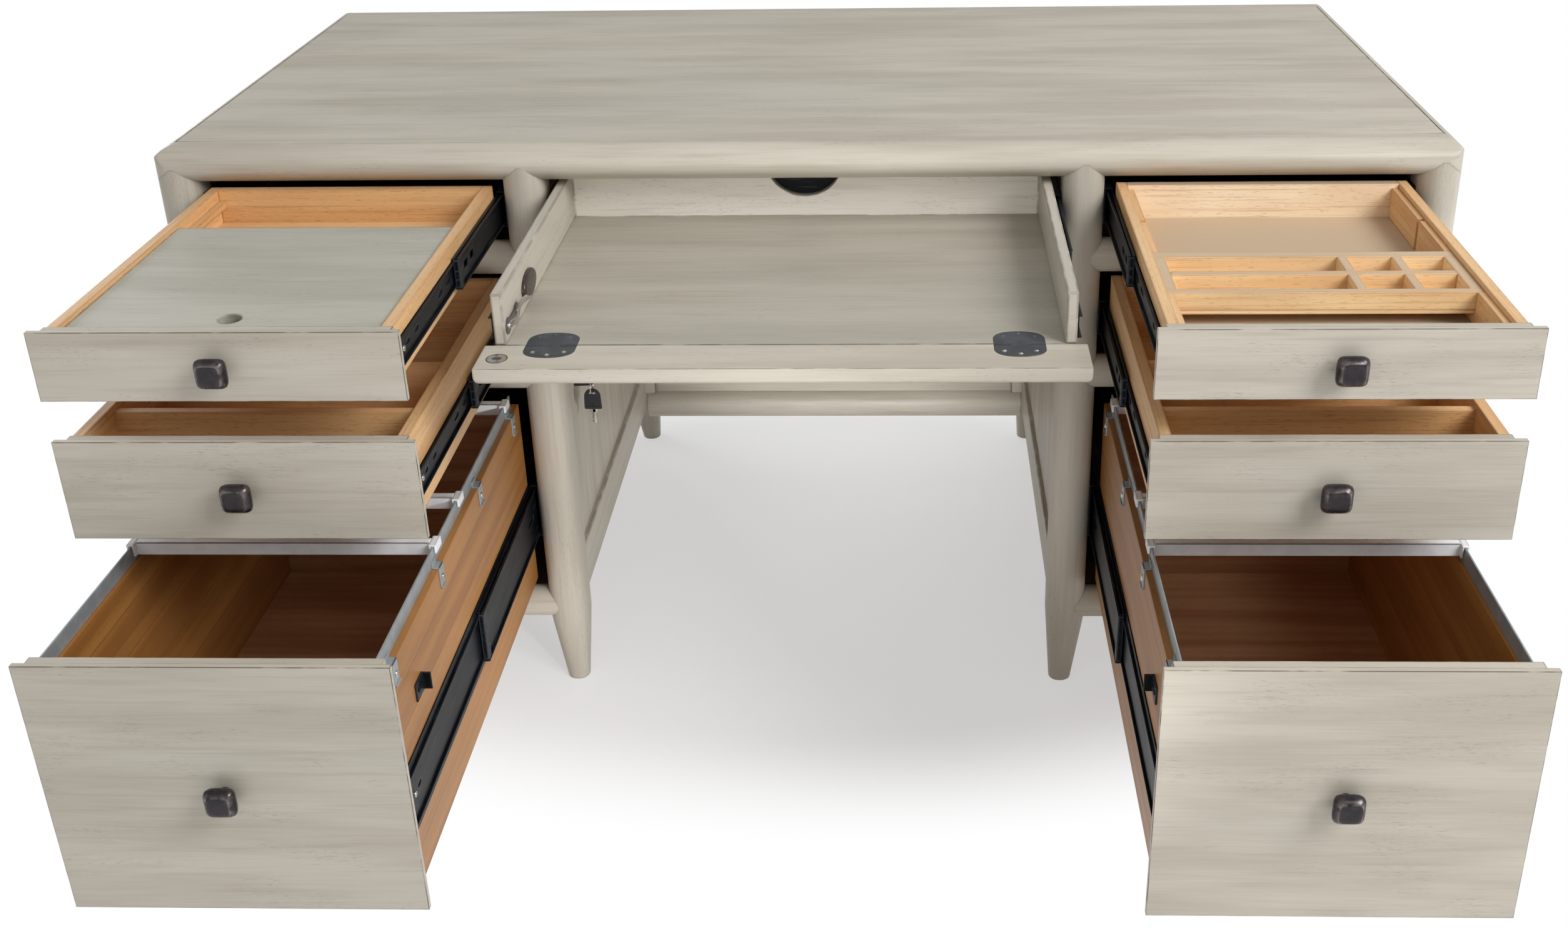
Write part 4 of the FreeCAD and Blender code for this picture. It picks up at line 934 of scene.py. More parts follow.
def screw(centre, axis, sign, radius, rise):
    """Pan head with a cross recess: rings that rise to a dome, lower where the cross is."""
    centre, ring = np.array(centre), circle(32)
    out = np.array([1, 1, 0.97, 0.85, 0.62, 0.58, 0.3])[:, None]
    dome = np.array([-0.3, 0, 0.45, 0.85, 1, 1, 1])[:, None]
    cross = np.abs(ring).min(1) < 0.22
    up = dome - 0.75 * (cross & (out < 0.6))
    return capped(stacked(centre[others(axis)] + radius * out[..., None] * ring,
                          centre[axis] + sign * rise * up, axis), "y")


def flanges(low, high, half):
    """Upper and lower flange of a channel, half the channel's height off its middle."""
    middle = (low[2] + high[2]) / 2
    return [board((low[0], low[1], z), (high[0], high[1], z + slide_gauge), 0.0004, "y", glaze=0.4)
            for z in (middle - half, middle + half - slide_gauge)]


def drawer_member(low, high, outward, half):
    """Drawer member between two corners; outward is 1 where its drawer side faces the desk's right.

    Its web lies against the drawer, backed by a thin black sheet that is painted shade in its holes, and its
    flanges point away.
    """
    holes = [(0.016, 0, 0.0021), (0.032, 0.003, 0.0024), (0.062, 0.004, 0.0026), (0.150, 0.006, 0.0028),
             (0.168, 0, 0.0030), (0.186, 0.006, 0.0028), (0.300, 0.006, 0.0028), (0.345, 0, 0.0024)]
    wall = low[0] if outward > 0 else high[0]
    web = sorted((wall, wall + outward * slide_gauge))
    # Painted shade: a thin black sheet behind the web, so that its holes look dark.
    hole_shade_sheet = board((wall, low[1] + 0.001, low[2] + 0.001),
                    (wall + outward * hole_shade_gauge, high[1] - 0.001, high[2] - 0.001), 0.0001, "y",
                    glaze=0.0)
    forms = pierced_web(*web, low, high, holes[:2] if half == file_half else holes)
    return forms + [hole_shade_sheet] + flanges(low, high, half)


def middle_member(low, high):
    """Middle member between two corners: its flanges stand on both sides of its web.

    Its front end carries a clip, bent in three steps that each take a share of the height.
    """
    (x0, y0, z0), (x1, _, z1) = low, high
    tall = z1 - z0
    windows = [(0.034, 0.0080, -0.0045), (0.060, 0.0080, -0.0045)]
    slots = [(0.250, 0.012, 0.0030), (0.330, 0.008, 0.0030)]
    web = (x0 + x1) / 2 - slide_gauge / 2, (x0 + x1) / 2 + slide_gauge / 2
    forms = pierced_web(*web, low, high, slots if tall > 0.05 else windows + slots)
    forms += flanges(low, high, tall / 2)
    for a, b, deep in ((0.04, 0.34, 0.010), (0.30, 0.62, 0.006), (0.58, 0.96, 0.011)):
        forms.append(board((x0 + 0.0004, y0 - 0.0004, z0 + a * tall),
                           (x1 - 0.0004, y0 + deep, z0 + b * tall), 0.0011, "y", glaze=0.9))
    return forms


case_heights = {"top": 0.045, "middle": 0.045, "file": 0.076, "tray": 0.042}
file_half = case_heights["file"] / 2 - 2 * (slide_gauge + ball_gap)
for unit in [f"{side}_{level}" for side, level in drawers] + ["tray"]:
    level = unit.split("_")[-1]
    low, high = (np.array(corner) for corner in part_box(f"{unit}_slides"))
    half = file_half if level == "file" else (high[2] - low[2]) / 2
    left, right = low[0] + drawer_flange, high[0] - drawer_flange
    forms = drawer_member(low, (left, high[1], high[2]), -1, half)
    forms += drawer_member((right, low[1], low[2]), high, 1, half)
    if level == "tray":
        piece("tray_slide_members", forms, black_steel, "keyboard_tray", ["tray_slides"],
              sharp=30)
    else:
        heads = [screw((x + way * slide_gauge, low[1] + place, (low[2] + high[2]) / 2), 0, way, *slide_screw)
                 for x, way in ((left, -1), (right, 1)) for place in screw_places]
        piece(f"{unit}_drawer_slide_members", forms, black_steel, f"{unit}_drawer", [f"{unit}_slides"],
              sharp=30)
        piece(f"{unit}_slide_screws", heads, nickel, f"{unit}_drawer", sharp=25)
    low, high = (np.array(corner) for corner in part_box(f"{unit}_slide_middles"))
    half = case_heights[level] / 2 - slide_gauge - ball_gap
    middle = (low[2] + high[2]) / 2
    forms = []
    for x in (low[0], high[0] - middle_flange):
        forms += middle_member((x, low[1], middle - half), (x + middle_flange, high[1], middle + half))
    piece(f"{unit}_middle_slide_members", forms, black_steel, f"{unit}_slide_middle",
          [f"{unit}_slide_middles"], sharp=30)


# File drawer fittings: zinc plated steel strips stand on the drawers' sides and carry hanging folders.
# Bent clips, screwed to the outsides, hold them. A black hook on the kneehole side is for the lock.

zinc = plated_steel("zinc_plated_strip", (166, 173, 177), 0.34, 0.30, 0.93)
strip_gauge = 0.002
strip_height = 0.018
strip_inset = 0.003
clip_gauge = 0.0016
clip_half = 0.007
clip_leg = 0.024
clip_tab = 0.007
clip_foot = 0.0032
clip_screw = (0.0036, 0.0016)
clip_screw_drop = 0.013
clip_places = 0.038 + 0.168 * np.arange(4)
hook_size = (0.023, 0.0205)
hook_setback = 0.082
hook_lift = 0.0775
hook_gauge = 0.002
hook_screw = (0.0026, 0.0012)
hook_screw_places = (0.006, 0.0155)
hook_screw_lift = 0.0102
bend_span = (0.0215, 0.0232)
bend_reach = 0.0105


def clip(edge, outer, side, y, base):
    """Clip bent from strip: a tab on the rail, a step over the drawer's side and a leg down the outside."""
    skin = outer + side * clip_gauge
    foot = base - clip_leg
    parts = ((edge, base, edge + side * clip_gauge, base + clip_tab), (edge, base, skin, base + clip_gauge),
             (outer, foot, skin, base + clip_gauge),
             (outer, foot, outer + side * clip_foot, foot + clip_gauge))
    return [board((x0, y - clip_half, z0), (x1, y + clip_half, z1), 0.0005, "z", glaze=0.4)
            for x0, z0, x1, z1 in parts]


for side in sides:
    low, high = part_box(f"{side}_file_box")
    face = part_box(f"{side}_file_front")[0].y
    drawer = f"{side}_file_drawer"
    forms, heads = [], []
    for outer, way in ((low.x, -1), (high.x, 1)):
        start = outer - way * (board_side - strip_inset)
        edge = start + way * strip_gauge
        forms.append(board((start, low.y, high.z), (edge, high.y - board_side, high.z + strip_height),
                           0.0005, "y", glaze=0.3))
        for y in face + clip_places:
            forms += clip(edge, outer, way, y, high.z)
            heads.append(screw((outer + way * clip_gauge, y, high.z - clip_screw_drop), 0, way, *clip_screw))
    piece(f"{side}_file_rails_and_clips", forms, zinc, drawer, [f"{side}_file_rails"])
    piece(f"{side}_file_clip_screws", heads, nickel, drawer, sharp=25)
    x, way = (low.x, -1) if side == "right" else (high.x, 1)
    slides_low, slides_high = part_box(f"{side}_file_slides")
    y = face + hook_setback
    z = (slides_low.z + slides_high.z) / 2 + hook_lift
    hook = [y, z] + np.array([[0, 0], [1, 0], [1, 1], [0, 1]]) * hook_size
    inset = hook.mean(0) + (hook - hook.mean(0)) * 0.97
    levels = x + way * hook_gauge * np.array([0, 0.25, 0.75, 1])
    plate = capped(stacked([hook, hook, hook, inset], levels, 0), "y", [[0.0], [0.2], [0.8], [0.3]])
    bent = board((x + way * 0.001, y + bend_span[0], z),
                 (x + way * bend_reach, y + bend_span[1], z + hook_size[1]), 0.0005, "z", glaze=0.5)
    heads = [screw((x + way * hook_gauge, y + place, z + hook_screw_lift), 0, way, *hook_screw)
             for place in hook_screw_places]
    piece(f"{side}_file_lock_hook", [plate, bent], black_steel, drawer)
    piece(f"{side}_lock_hook_screws", heads, black_steel, drawer, sharp=25)


# Folder bars: three pale aluminium channels lie across each file drawer, with white moulded caps hooked
# over the steel strips so that the bars can be slid along them.

def moulding(name, scale, dark, light, edge, edge_share, rough, strength, depth):
    """Moulded plastic: a soft sheen, fine noise between two tones and another tone at marked edges."""
    material, shader, add = new_finish(name)
    fine = speckled(add, scale)
    tone = blended(add, fine, linear(*dark), linear(*light))
    tone = tinted(add, tone, edge, edge_share, carried(add, "glaze", "Fac"))
    surfaced(add, shader, tone, rough, fine, strength, depth)
    return material


pale_bar = plated_steel("pale_bar_aluminium", (250, 252, 255), 0.42, 0.0, 0.96)
white_cap = moulding("white_cap_moulding", 120.0, (238, 241, 244), (248, 250, 252), (170, 176, 184), 0.3,
                     0.35, 0.05, 0.0003)
bar_setbacks = (0.223, 0.317, 0.541)
bar_depth = 0.010
bar_gauge = 0.0015
bar_height = 0.015
bar_ease = 0.0004
cap_half = 0.010
cap_gauge = 0.003
cap_lip = 0.0105
cap_crown = 0.0025
cap_ease = 0.0014
cap_wiped = 0.0004
slack = 0.0003
for side in sides:
    low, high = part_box(f"{side}_file_box")
    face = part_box(f"{side}_file_front")[0].y
    rail_top = high.z + strip_height + slack
    top = rail_top + cap_crown
    inner = (low.x + board_side - strip_inset + slack, high.x - board_side + strip_inset - slack)
    x0, x1 = inner[0] + cap_gauge, inner[1] - cap_gauge
    bars, caps = [], []
    for y in face + np.array(bar_setbacks):
        a, b = y - bar_depth / 2, y + bar_depth / 2
        flanks = ((a, a + bar_gauge, bar_height), (b - bar_gauge, b, bar_height))
        for y0, y1, tall in ((a, b, bar_gauge), *flanks):
            bars.append(board((x0, y0, top - tall), (x1, y1, top), bar_ease, "x", glaze=0.2))
        for edge, way in ((inner[0], -1), (inner[1], 1)):
            start = edge - way * cap_gauge
            reach = edge + way * (strip_gauge + 2 * slack)
            end = reach + way * cap_gauge
            for u0, u1, z in ((start, end, rail_top), (start, edge, top - bar_height),
                              (reach, end, top - cap_lip)):
                caps.append(board((u0, y - cap_half, z), (u1, y + cap_half, top), cap_ease, "y",
                                  cap_wiped, 0.4))
    piece(f"{side}_folder_bar_channels", bars, pale_bar, f"{side}_folder_bars", [f"{side}_file_bars"])
    piece(f"{side}_folder_bar_caps", caps, white_cap, f"{side}_folder_bars")


# Keyboard tray: a board between two walls, with a back wall that has a half round notch for cables. It
# has the finish of the outside, with glaze left dark in the inside corners. A darker copy of it on the board
# is painted shade, and a paler copy on the back wall is painted light.

# Painted light: a paler copy of the outside's finish for the tray's back wall, which stands under the top.
greige_back_wall_lit = greige_finish("greige_back_wall_painted_light_lacquer", (248, 242, 230), (232, 225, 212))
# Painted shade: a darker copy of the outside's finish for the tray board, under the desk top.
greige_tray_shaded = greige_finish("greige_tray_painted_shade_lacquer", (184, 177, 163), (170, 163, 149))
wall = 0.0115
notch_round = 0.0464
notch_rise = 0.0717
hinge_half = 0.026
hinge_reach = 0.029
hinge_straight = 0.011
hinge_bow = 2.3
pocket_gap = 0.0004
pocket_depth = 0.0018
line_lift = 0.00012


def leaf_outline(x, y, way, grow=0.0):
    """Hinge leaf seen from above: straight along the hinge line, its far side one soft bow.

    The bow is half a squircle: the powers of the two coordinates, each over its reach, add up to one.
    """
    turn = np.linspace(0, math.pi, 25)
    power = 2 / hinge_bow
    wide = (hinge_half + grow) * np.sign(np.cos(turn)) * np.abs(np.cos(turn)) ** power
    far = hinge_straight + (hinge_reach + grow - hinge_straight) * np.abs(np.sin(turn)) ** power
    return np.stack([x + np.pad(wide, 1, "edge"), y + way * np.pad(far, 1)], 1)


def flat_plate(outline, axis, low, high, ease, along="x", mark=1.0):
    """A plate with a convex outline between two levels of an axis, its upper rim set back by the ease."""
    middle = outline.mean(0)
    away = outline - middle
    length = np.linalg.norm(away, axis=1, keepdims=True)
    inset = middle + away * (1 - ease / length)
    wide = middle + away * (1 - np.minimum(0.003, length * 0.4) / length)
    rings = stacked((outline, outline, inset, wide), (low, high - ease, high, high), axis)
    return capped(rings, along, np.array([[0.3], [1.0], [1.0], [0.0]]) * mark)


def pocket_shade_line(outline, top):
    """Painted shade round a fitting that is let in flush: a thin plate, darkened all over through the glaze
    mark, for the shade in the gap round the fitting.
    """
    plate = flat_plate(outline, 2, top - pocket_depth, top + line_lift, 0.00005)
    plate["glaze"][:] = 8.0
    return plate


def tray_back(low, high, y0, y1):
    """Back wall as columns along x; inside the notch the top is the notch's lower arc."""
    arc = notch_round * np.cos(np.linspace(math.pi, 0, 33))
    edge = math.sqrt(notch_round ** 2 - (notch_rise - (high.z - deck_top)) ** 2)
    arc = arc[np.abs(arc) < edge]
    x = np.concatenate([[low.x + wall, low.x + wall + 0.003, -0.2, -edge - 0.003, -edge], arc,
                        [edge, edge + 0.003, 0.2, high.x - wall - 0.003, high.x - wall]])
    dip = deck_top + notch_rise - np.sqrt(np.maximum(notch_round ** 2 - x ** 2, 0))
    top = np.where(np.abs(x) <= edge, np.minimum(dip, high.z), high.z)
    ease = 0.0012
    bend = ease * 0.3
    y = [y0, y0, y0, y0, y0 + bend, y0 + ease, y0 + wiped, y1 - ease, y1 - bend, y1, y1]
    base = np.full((len(x), 1), deck_top)
    z = np.hstack([base, base + wiped, top[:, None] - [wiped, ease, bend, 0, 0, 0, bend, ease], base])
    marks = np.tile([1, 0, 0, 1, 1, 1, 0, 1, 1, 1, 0.3], (len(x), 1))
    marks[[0, -1]] = 1.0
    return capped(np.dstack([np.broadcast_to(x[:, None], z.shape), np.broadcast_to(y, z.shape),
                             np.maximum(z, deck_top)]), "x", marks)


board_low, board_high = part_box("tray_board")
walls_low, walls_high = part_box("tray_walls")
deck_top = board_high.z
leaf_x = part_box("drop_front_hinges")[1].x - hinge_half
forms = [board(board_low, board_high, 0.0006, "x")]
# Lines of painted shade round the hinge leaves.
forms += [pocket_shade_line(leaf_outline(x, board_low.y + pocket_gap, 1, pocket_gap), deck_top)
          for x in (-leaf_x, leaf_x)]
piece("keyboard_tray_board", forms, greige_tray_shaded, "keyboard_tray", ["tray_board"])
forms = [board((x0, walls_low.y, deck_top), (x1, walls_high.y, walls_high.z), 0.0015, "y", glaze=0.6)
         for x0, x1 in ((walls_low.x, walls_low.x + wall), (walls_high.x - wall, walls_high.x))]
piece("keyboard_tray_side_walls", forms, greige, "keyboard_tray", ["tray_walls"])
piece("keyboard_tray_back_wall", [tray_back(walls_low, walls_high, walls_high.y - wall, walls_high.y)],
      greige_back_wall_lit, "keyboard_tray")


# Painted shade behind the cable notch: a thin black sheet, held in the back wall's thickness, that stands
# for the deep shade there, so that the notch looks black from the front.

shade_sheet_thickness = 0.0008
shade_sheet_inset = 0.0004
shade_sheet_lap = 0.002
shade_sheet_drop = 0.001
shade_sheet_ease = 0.0001
shade_sheet_back = walls_high.y - shade_sheet_inset
shade_sheet_base = deck_top + notch_rise - notch_round - shade_sheet_lap
# Painted shade: a black sheet behind the notch, where there is only shade.
notch_shade_sheet = board((-notch_round, shade_sheet_back - shade_sheet_thickness, shade_sheet_base),
             (notch_round, shade_sheet_back, walls_high.z - shade_sheet_drop), shade_sheet_ease, "x", glaze=0.0)
piece("cable_notch_painted_shade_sheet", [notch_shade_sheet], black_steel, "keyboard_tray")


# Drop front of the tray: a board, shown folded down level with the tray, with rounded lower edges. It
# carries half of each hinge and the round strike plate, both let in flush with lines of painted shade round
# them.

front_round = 0.005
front_ease = 0.0010
strike_inset = 0.0105
strike_setback = 0.0315
strike_pocket = 0.0110


def drop_section(low, high, inset, lift):
    """The drop front's section: large round below in front, small above, set in and lifted by as much."""
    y0, y1, z0, z1 = low.y + inset, high.y, low.z + lift, high.z - inset
    rear = [[y1 - wiped, z0], [y1, z0 + 0.0004], [y1, z1 - 0.0004], [y1 - 0.0004, z1], [y1 - wiped, z1],
            [y0 + 2 * wiped, z1]]
    return np.concatenate([quarter((y0 + front_round, z0 + front_round), front_round, 180, 6), rear,
                           quarter((y0 + front_ease, z1 - front_ease), front_ease, 90, 6)])


def drop_board(low, high):
    """Section in depth and height carried along the width; it shrinks in steps towards each end."""
    steps = np.array([(0, 0.0010, 0.0040), (0.0004, 0.0004, 0.0030), (0.0012, 0, 0.0018),
                      (0.0026, 0, 0.0006), (0.005, 0, 0)])
    rings = [drop_section(low, high, *step) for step in steps[:, 1:]]
    x = np.concatenate([low.x + steps[:, 0], high.x - steps[::-1, 0]])
    marks = np.tile([0] * 6 + [0, 0.7, 1, 1, 0, 0] + [0, 0.3, 1, 1, 0.3, 0], (len(x), 1))
    marks[[0, 1, -2, -1]] *= 0.5
    return capped(stacked(rings + rings[::-1], x, 0), "x", marks)


low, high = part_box("drop_front")
strike = np.array([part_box("drop_front_hinges")[0].x + strike_inset, board_low.y - strike_setback])
ring = circle(40)
forms = [drop_board(low, high)]
# Lines of painted shade round the hinge leaves and the strike.
forms += [pocket_shade_line(leaf_outline(x, high.y - pocket_gap, -1, pocket_gap), high.z) for x in (-leaf_x, leaf_x)]
forms.append(pocket_shade_line(strike + ring * strike_pocket, high.z))
piece("tray_drop_front_board", forms, greige, "tray_drop_front", ["drop_front"])


# Hinges, strike plate, catch and side pad: dark nickel leaves with three screws each and a stepped joint,
# a bright strike with a slot over a black plate of painted shade, a sprung catch bent from bright strip, and
# a glossy oval pad.

dark_hinge = plated_steel("dark_hinge_steel", (88, 92, 97), 0.36, 0.5)
leaf_screw = plated_steel("leaf_screw_steel", (116, 120, 126), 0.28)
leaf_lift = 0.0003
strike_lift = 0.00018
strike_round = 0.0100
strike_depth = 0.001
strike_slot = (0.0022, 0.0026)
slot_shade_outline = (0.0024, 0.0028)
slot_shade_base = 0.0009
slot_shade_top = 0.0003
slot_shade_ease = 0.0001
tongue = 0.0085
tongue_reach = 0.0018
tongue_lap = 0.0005
tongue_ease = 0.0002
hinge_setback = 0.0003
notch_depth = 0.0024
leaf_depth = 0.002
leaf_gap = 0.0004
leaf_ease = 0.0003
leaf_screw_size = (0.0025, 0.0004)
leaf_screws = ((-0.016, 0.017), (0.0, 0.0235), (0.016, 0.017))
strike_screw = (0.0018, 0.00006)
strike_screws = (-0.0072, 0.0072)
hinge_y = board_low.y - hinge_setback
notch_y = hinge_y - notch_depth
z0, z1 = deck_top - leaf_depth, deck_top + leaf_lift
strike_top = deck_top + strike_lift
tray_leaves, drop_leaves, tray_heads, drop_heads = [], [], [], []
for x in (-leaf_x, leaf_x):
    tray_leaves += [flat_plate(leaf_outline(x, board_low.y, 1), 2, z0, z1, leaf_ease, mark=0.4),
                    board((x - tongue, hinge_y - tongue_reach, z0),
                          (x + tongue, board_low.y + tongue_lap, z1), tongue_ease, "x", glaze=0.2)]
    outline = leaf_outline(x, hinge_y - leaf_gap, -1)
    outline[[0, -1], 1] = notch_y
    outline[:, 1] = np.minimum(outline[:, 1], notch_y)
    drop_leaves.append(flat_plate(outline, 2, z0, z1, leaf_ease, mark=0.4))
    for x0, x1 in ((x - hinge_half, x - tongue - leaf_gap), (x + tongue + leaf_gap, x + hinge_half)):
        drop_leaves.append(board((x0, notch_y - 2 * tongue_lap, z0), (x1, hinge_y - leaf_gap, z1),
                                 tongue_ease, "x", glaze=0.2))
    for off, deep in leaf_screws:
        tray_heads.append(screw((x + off, board_low.y + deep, z1), 2, 1, *leaf_screw_size))
        drop_heads.append(screw((x + off, hinge_y - deep, z1), 2, 1, *leaf_screw_size))
drop_heads += [screw((strike[0] + off, strike[1], strike_top), 2, 1, *strike_screw) for off in strike_screws]
drop_heads.append(holed(strike + ring * strike_round, stadium(strike, ring, *strike_slot), 2,
                        deck_top - strike_depth, strike_top, leaf_ease, "x", 0.5))
# Painted shade: a black plate under the strike's slot, where there is only shade.
slot_shade_plate = flat_plate(stadium(strike, ring, *slot_shade_outline), 2, deck_top - slot_shade_base, deck_top - slot_shade_top,
                   slot_shade_ease)
piece("strike_slot_painted_shade", [slot_shade_plate], black_steel, "tray_drop_front")
piece("tray_hinge_leaves", tray_leaves, dark_hinge, "keyboard_tray", ["tray_hinges_and_catch"])
piece("tray_hinge_screws", tray_heads, leaf_screw, "keyboard_tray", sharp=25)
piece("drop_front_hinge_leaves", drop_leaves, dark_hinge, "tray_drop_front", ["drop_front_hinges"])
piece("drop_front_screws_and_strike", drop_heads, nickel, "tray_drop_front", sharp=25)

spring_steel = plated_steel("spring_catch_steel", (122, 120, 126), 0.14, 0.95)
spring_half_gauge = 0.0007
spring_places = np.array([(0.011, 0.012, 0.002, 0.004), (0.020, 0.014, 0.008, 0.005),
                          (0.030, 0.017, 0.0075, 0.005), (0.040, 0.021, 0.006, 0.005),
                          (0.048, 0.024, 0.009, 0.0045), (0.052, 0.0255, 0.013, 0.004),
                          (0.052, 0.0260, 0.016, 0.003)])
plate_gauge = 0.0016
catch_screw = (0.0034, 0.0014)
lobe = 0.0088
wall_face = board_low.x + wall
catch = np.array([board_low.y + 0.004, deck_top + 0.004])
lobes = catch + [[0.009, 0.012], [0.047, 0.012]]


def blade_spring(x, foot, places):
    """Spring bent from strip: a ribbon with round edges whose middle line passes the given places.

    Each place gives the distance along the wall, the height, how far it stands off and its half width.
    """
    stops = np.linspace(0, len(places) - 1, 25)
    line = np.stack([np.interp(stops, np.arange(len(places)), column) for column in places.T], 1)
    padded = np.pad(line, ((2, 2), (0, 0)), "edge")
    kernel = np.array([1, 2, 3, 2, 1]) / 9
    line = np.stack([np.convolve(column, kernel, "valid") for column in padded.T], 1)
    along = np.gradient(line[:, :2], axis=0)
    along /= np.linalg.norm(along, axis=1, keepdims=True)
    across = np.stack([-along[:, 1], along[:, 0]], 1)[:, None]
    around = circle(12)
    wide = around[:, :1] * line[:, None, 3:4]
    stand = x + line[:, 2:3] + around[:, 1] * spring_half_gauge
    return capped(np.dstack([stand, foot + line[:, None, :2] + across * wide]), "y")


plates = [flat_plate(place + ring * lobe, 0, wall_face, wall_face + plate_gauge, 0.0004, "y", 0.3)
          for place in lobes]
plates.append(board((wall_face, *(lobes[0] - [0, 0.006])), (wall_face + 0.0014, *(lobes[1] + [0, 0.006])),
                    0.0004, "y", glaze=0.3))
piece("tray_catch_plate", plates, spring_steel, "keyboard_tray")
spring = [blade_spring(wall_face, catch, spring_places)]
spring += [screw((wall_face + plate_gauge, *place), 0, 1, *catch_screw) for place in lobes]
piece("tray_catch_spring_and_screws", spring, nickel, "keyboard_tray", sharp=35)

pad_brown, shader, add = new_finish("brown_pad_moulding")
mottle = speckled(add, 260.0)
tone = two_toned(add, mottle, (0.35, 0.65), (52, 43, 40), (60, 50, 46))
surfaced(add, shader, tone, (mottle, 0.22, 0.34), mottle, 0.05, 0.0003)
pad_low, pad_high = (np.array(corner)[1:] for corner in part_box("tray_side_pad"))
rings = [(pad_low + pad_high) / 2 + ring * ((pad_high - pad_low) / 2 - shrink)
         for shrink in (0, 0, 0.0005, 0.0018, 0.0045)]
levels = wall_face + np.array([0, 0.0028, 0.0038, 0.0046, 0.0050])
piece("tray_side_oval_pad", [capped(stacked(rings, levels, 0), "y")], pad_brown, "keyboard_tray",
      ["tray_side_pad"], sharp=60)


# Lock and keys: a nickel lock ring on the left kneehole panel with a key standing in it. A spare key hangs
# from its bow on a small wire ring. The keys have black moulded bows with a raised rim, a slot for the
# ring and a dimple, over nickel blades with cut teeth.

bow_round = 0.0106
bow_length = 0.029
bow_gauge = 0.0026
bow_thinned = 0.0005
neck_reach = 0.005
blade_length = 0.0154
blade_half = 0.00275
bow_flare = 0.0008
bow_chamfer = 0.0012
rim_share = 0.14
slot_inset = 0.0065
slot_side = 0.0017
slot_straight = 0.0028
dimple = [(0.0016, 0.0008), (0.0016, 0.0), (0.0012, -0.0001), (0.0009, 0.0003)]
dimple_setback = 0.006
tooth_depths = (0.0026, 0.0020, 0.0027, 0.0018, 0.0024)
tooth_pitch = 0.0028
tooth_width = 0.0016
first_tooth = 0.0010
bow_middle = 0.003
neck_overlap = 0.002
neck_half = 0.0045
blade_back = 0.0012
blade_sunk = 0.0003
blade_ease = 0.0003
black_bow = moulding("black_key_moulding", 1500.0, (16, 17, 20), (30, 31, 35), (96, 98, 104), 0.25, 0.32,
                     0.10, 0.0002)


def lathed(centre, axis, profile, count=32):
    """Rings round an axis: each entry of the profile is a radius and a distance along the axis."""
    centre, (radius, reach) = np.array(centre), np.array(profile).T
    flats = centre[others(axis)] + radius[:, None, None] * circle(count)
    return capped(stacked(flats, centre[axis] + reach, axis), "y")


def wire_ring(centre, radius, wire):
    """Torus in the plane across x, its rows and columns both closed."""
    rows, columns = 40, 12
    around, about = circle(rows), circle(columns)
    flats = centre[1:] + (radius + wire * about[:, :1]) * around[:, None]
    x = np.broadcast_to(centre[0] + wire * about[:, 1], (rows, columns))
    points = np.dstack([x, flats]).reshape(-1, 3)
    index = np.arange(rows * columns).reshape(rows, columns)
    after = np.roll(index, -1, 0)
    quads = np.stack([index, after, np.roll(after, -1, 1), np.roll(index, -1, 1)], -1).reshape(-1, 4)
    return {"points": points, "quads": quads, "grain": turned_to(points, "z"),
            "glaze": np.zeros(len(points))}


def key(y, place):
    """Bow and blade of one key at a depth; place turns distances along and across the key into x and z."""
    turn = np.linspace(math.pi / 2, 3 * math.pi / 2, 21)
    arch = bow_round * np.stack([1 + np.cos(turn), np.sin(turn)], 1)
    wide, back = bow_round + bow_flare, bow_length - bow_chamfer
    foot = [[back, -wide], [bow_length, -wide + bow_chamfer], [bow_length, wide - bow_chamfer], [back, wide]]
    side = np.linspace(arch[-1], foot[0], 6)[1:-1]
    outer = np.concatenate([arch, side, foot, (side * [1, -1])[::-1]])
    middle = np.array([slot_inset + bow_middle, 0.0])
    way_out = outer - middle
    way_out /= np.linalg.norm(way_out, axis=1, keepdims=True)
    hole = [slot_inset, 0.0] + way_out * slot_side
    hole[:, 1] += np.sign(np.round(way_out[:, 1], 4)) * slot_straight
    rim = outer + (middle - outer) * rim_share
    y0, y1 = y - bow_gauge / 2, y + bow_gauge / 2
    dot = place(np.array([bow_length - dimple_setback, 0.0]))
    bow = [holed(place(outer), place(hole), 1, y0 + bow_thinned, y1 - bow_thinned, 0.0002, "z", 0.5),
           holed(place(outer), place(rim), 1, y0, y1, 0.0003, "z"),
           lathed((dot[0], y0, dot[1]), 1, dimple, 20)]
    shoulder = bow_length + neck_reach
    cuts = [(bow_length - neck_overlap, shoulder, neck_half, neck_half),
            (bow_length, shoulder + blade_length, blade_half, blade_back)]
    for number, depth in enumerate(tooth_depths):
        start = shoulder + first_tooth + number * tooth_pitch
        cuts.append((start, start + tooth_width, 0.0, depth))
    blade = []
    for s0, s1, plus, minus in cuts:
        (x0, z0), (x1, z1) = place(np.array([[s0, plus], [s1, -minus]]))
        blade.append(board((x0, y0 + blade_sunk, z0), (x1, y1 - blade_sunk, z1), blade_ease, "z"))
    return bow, blade


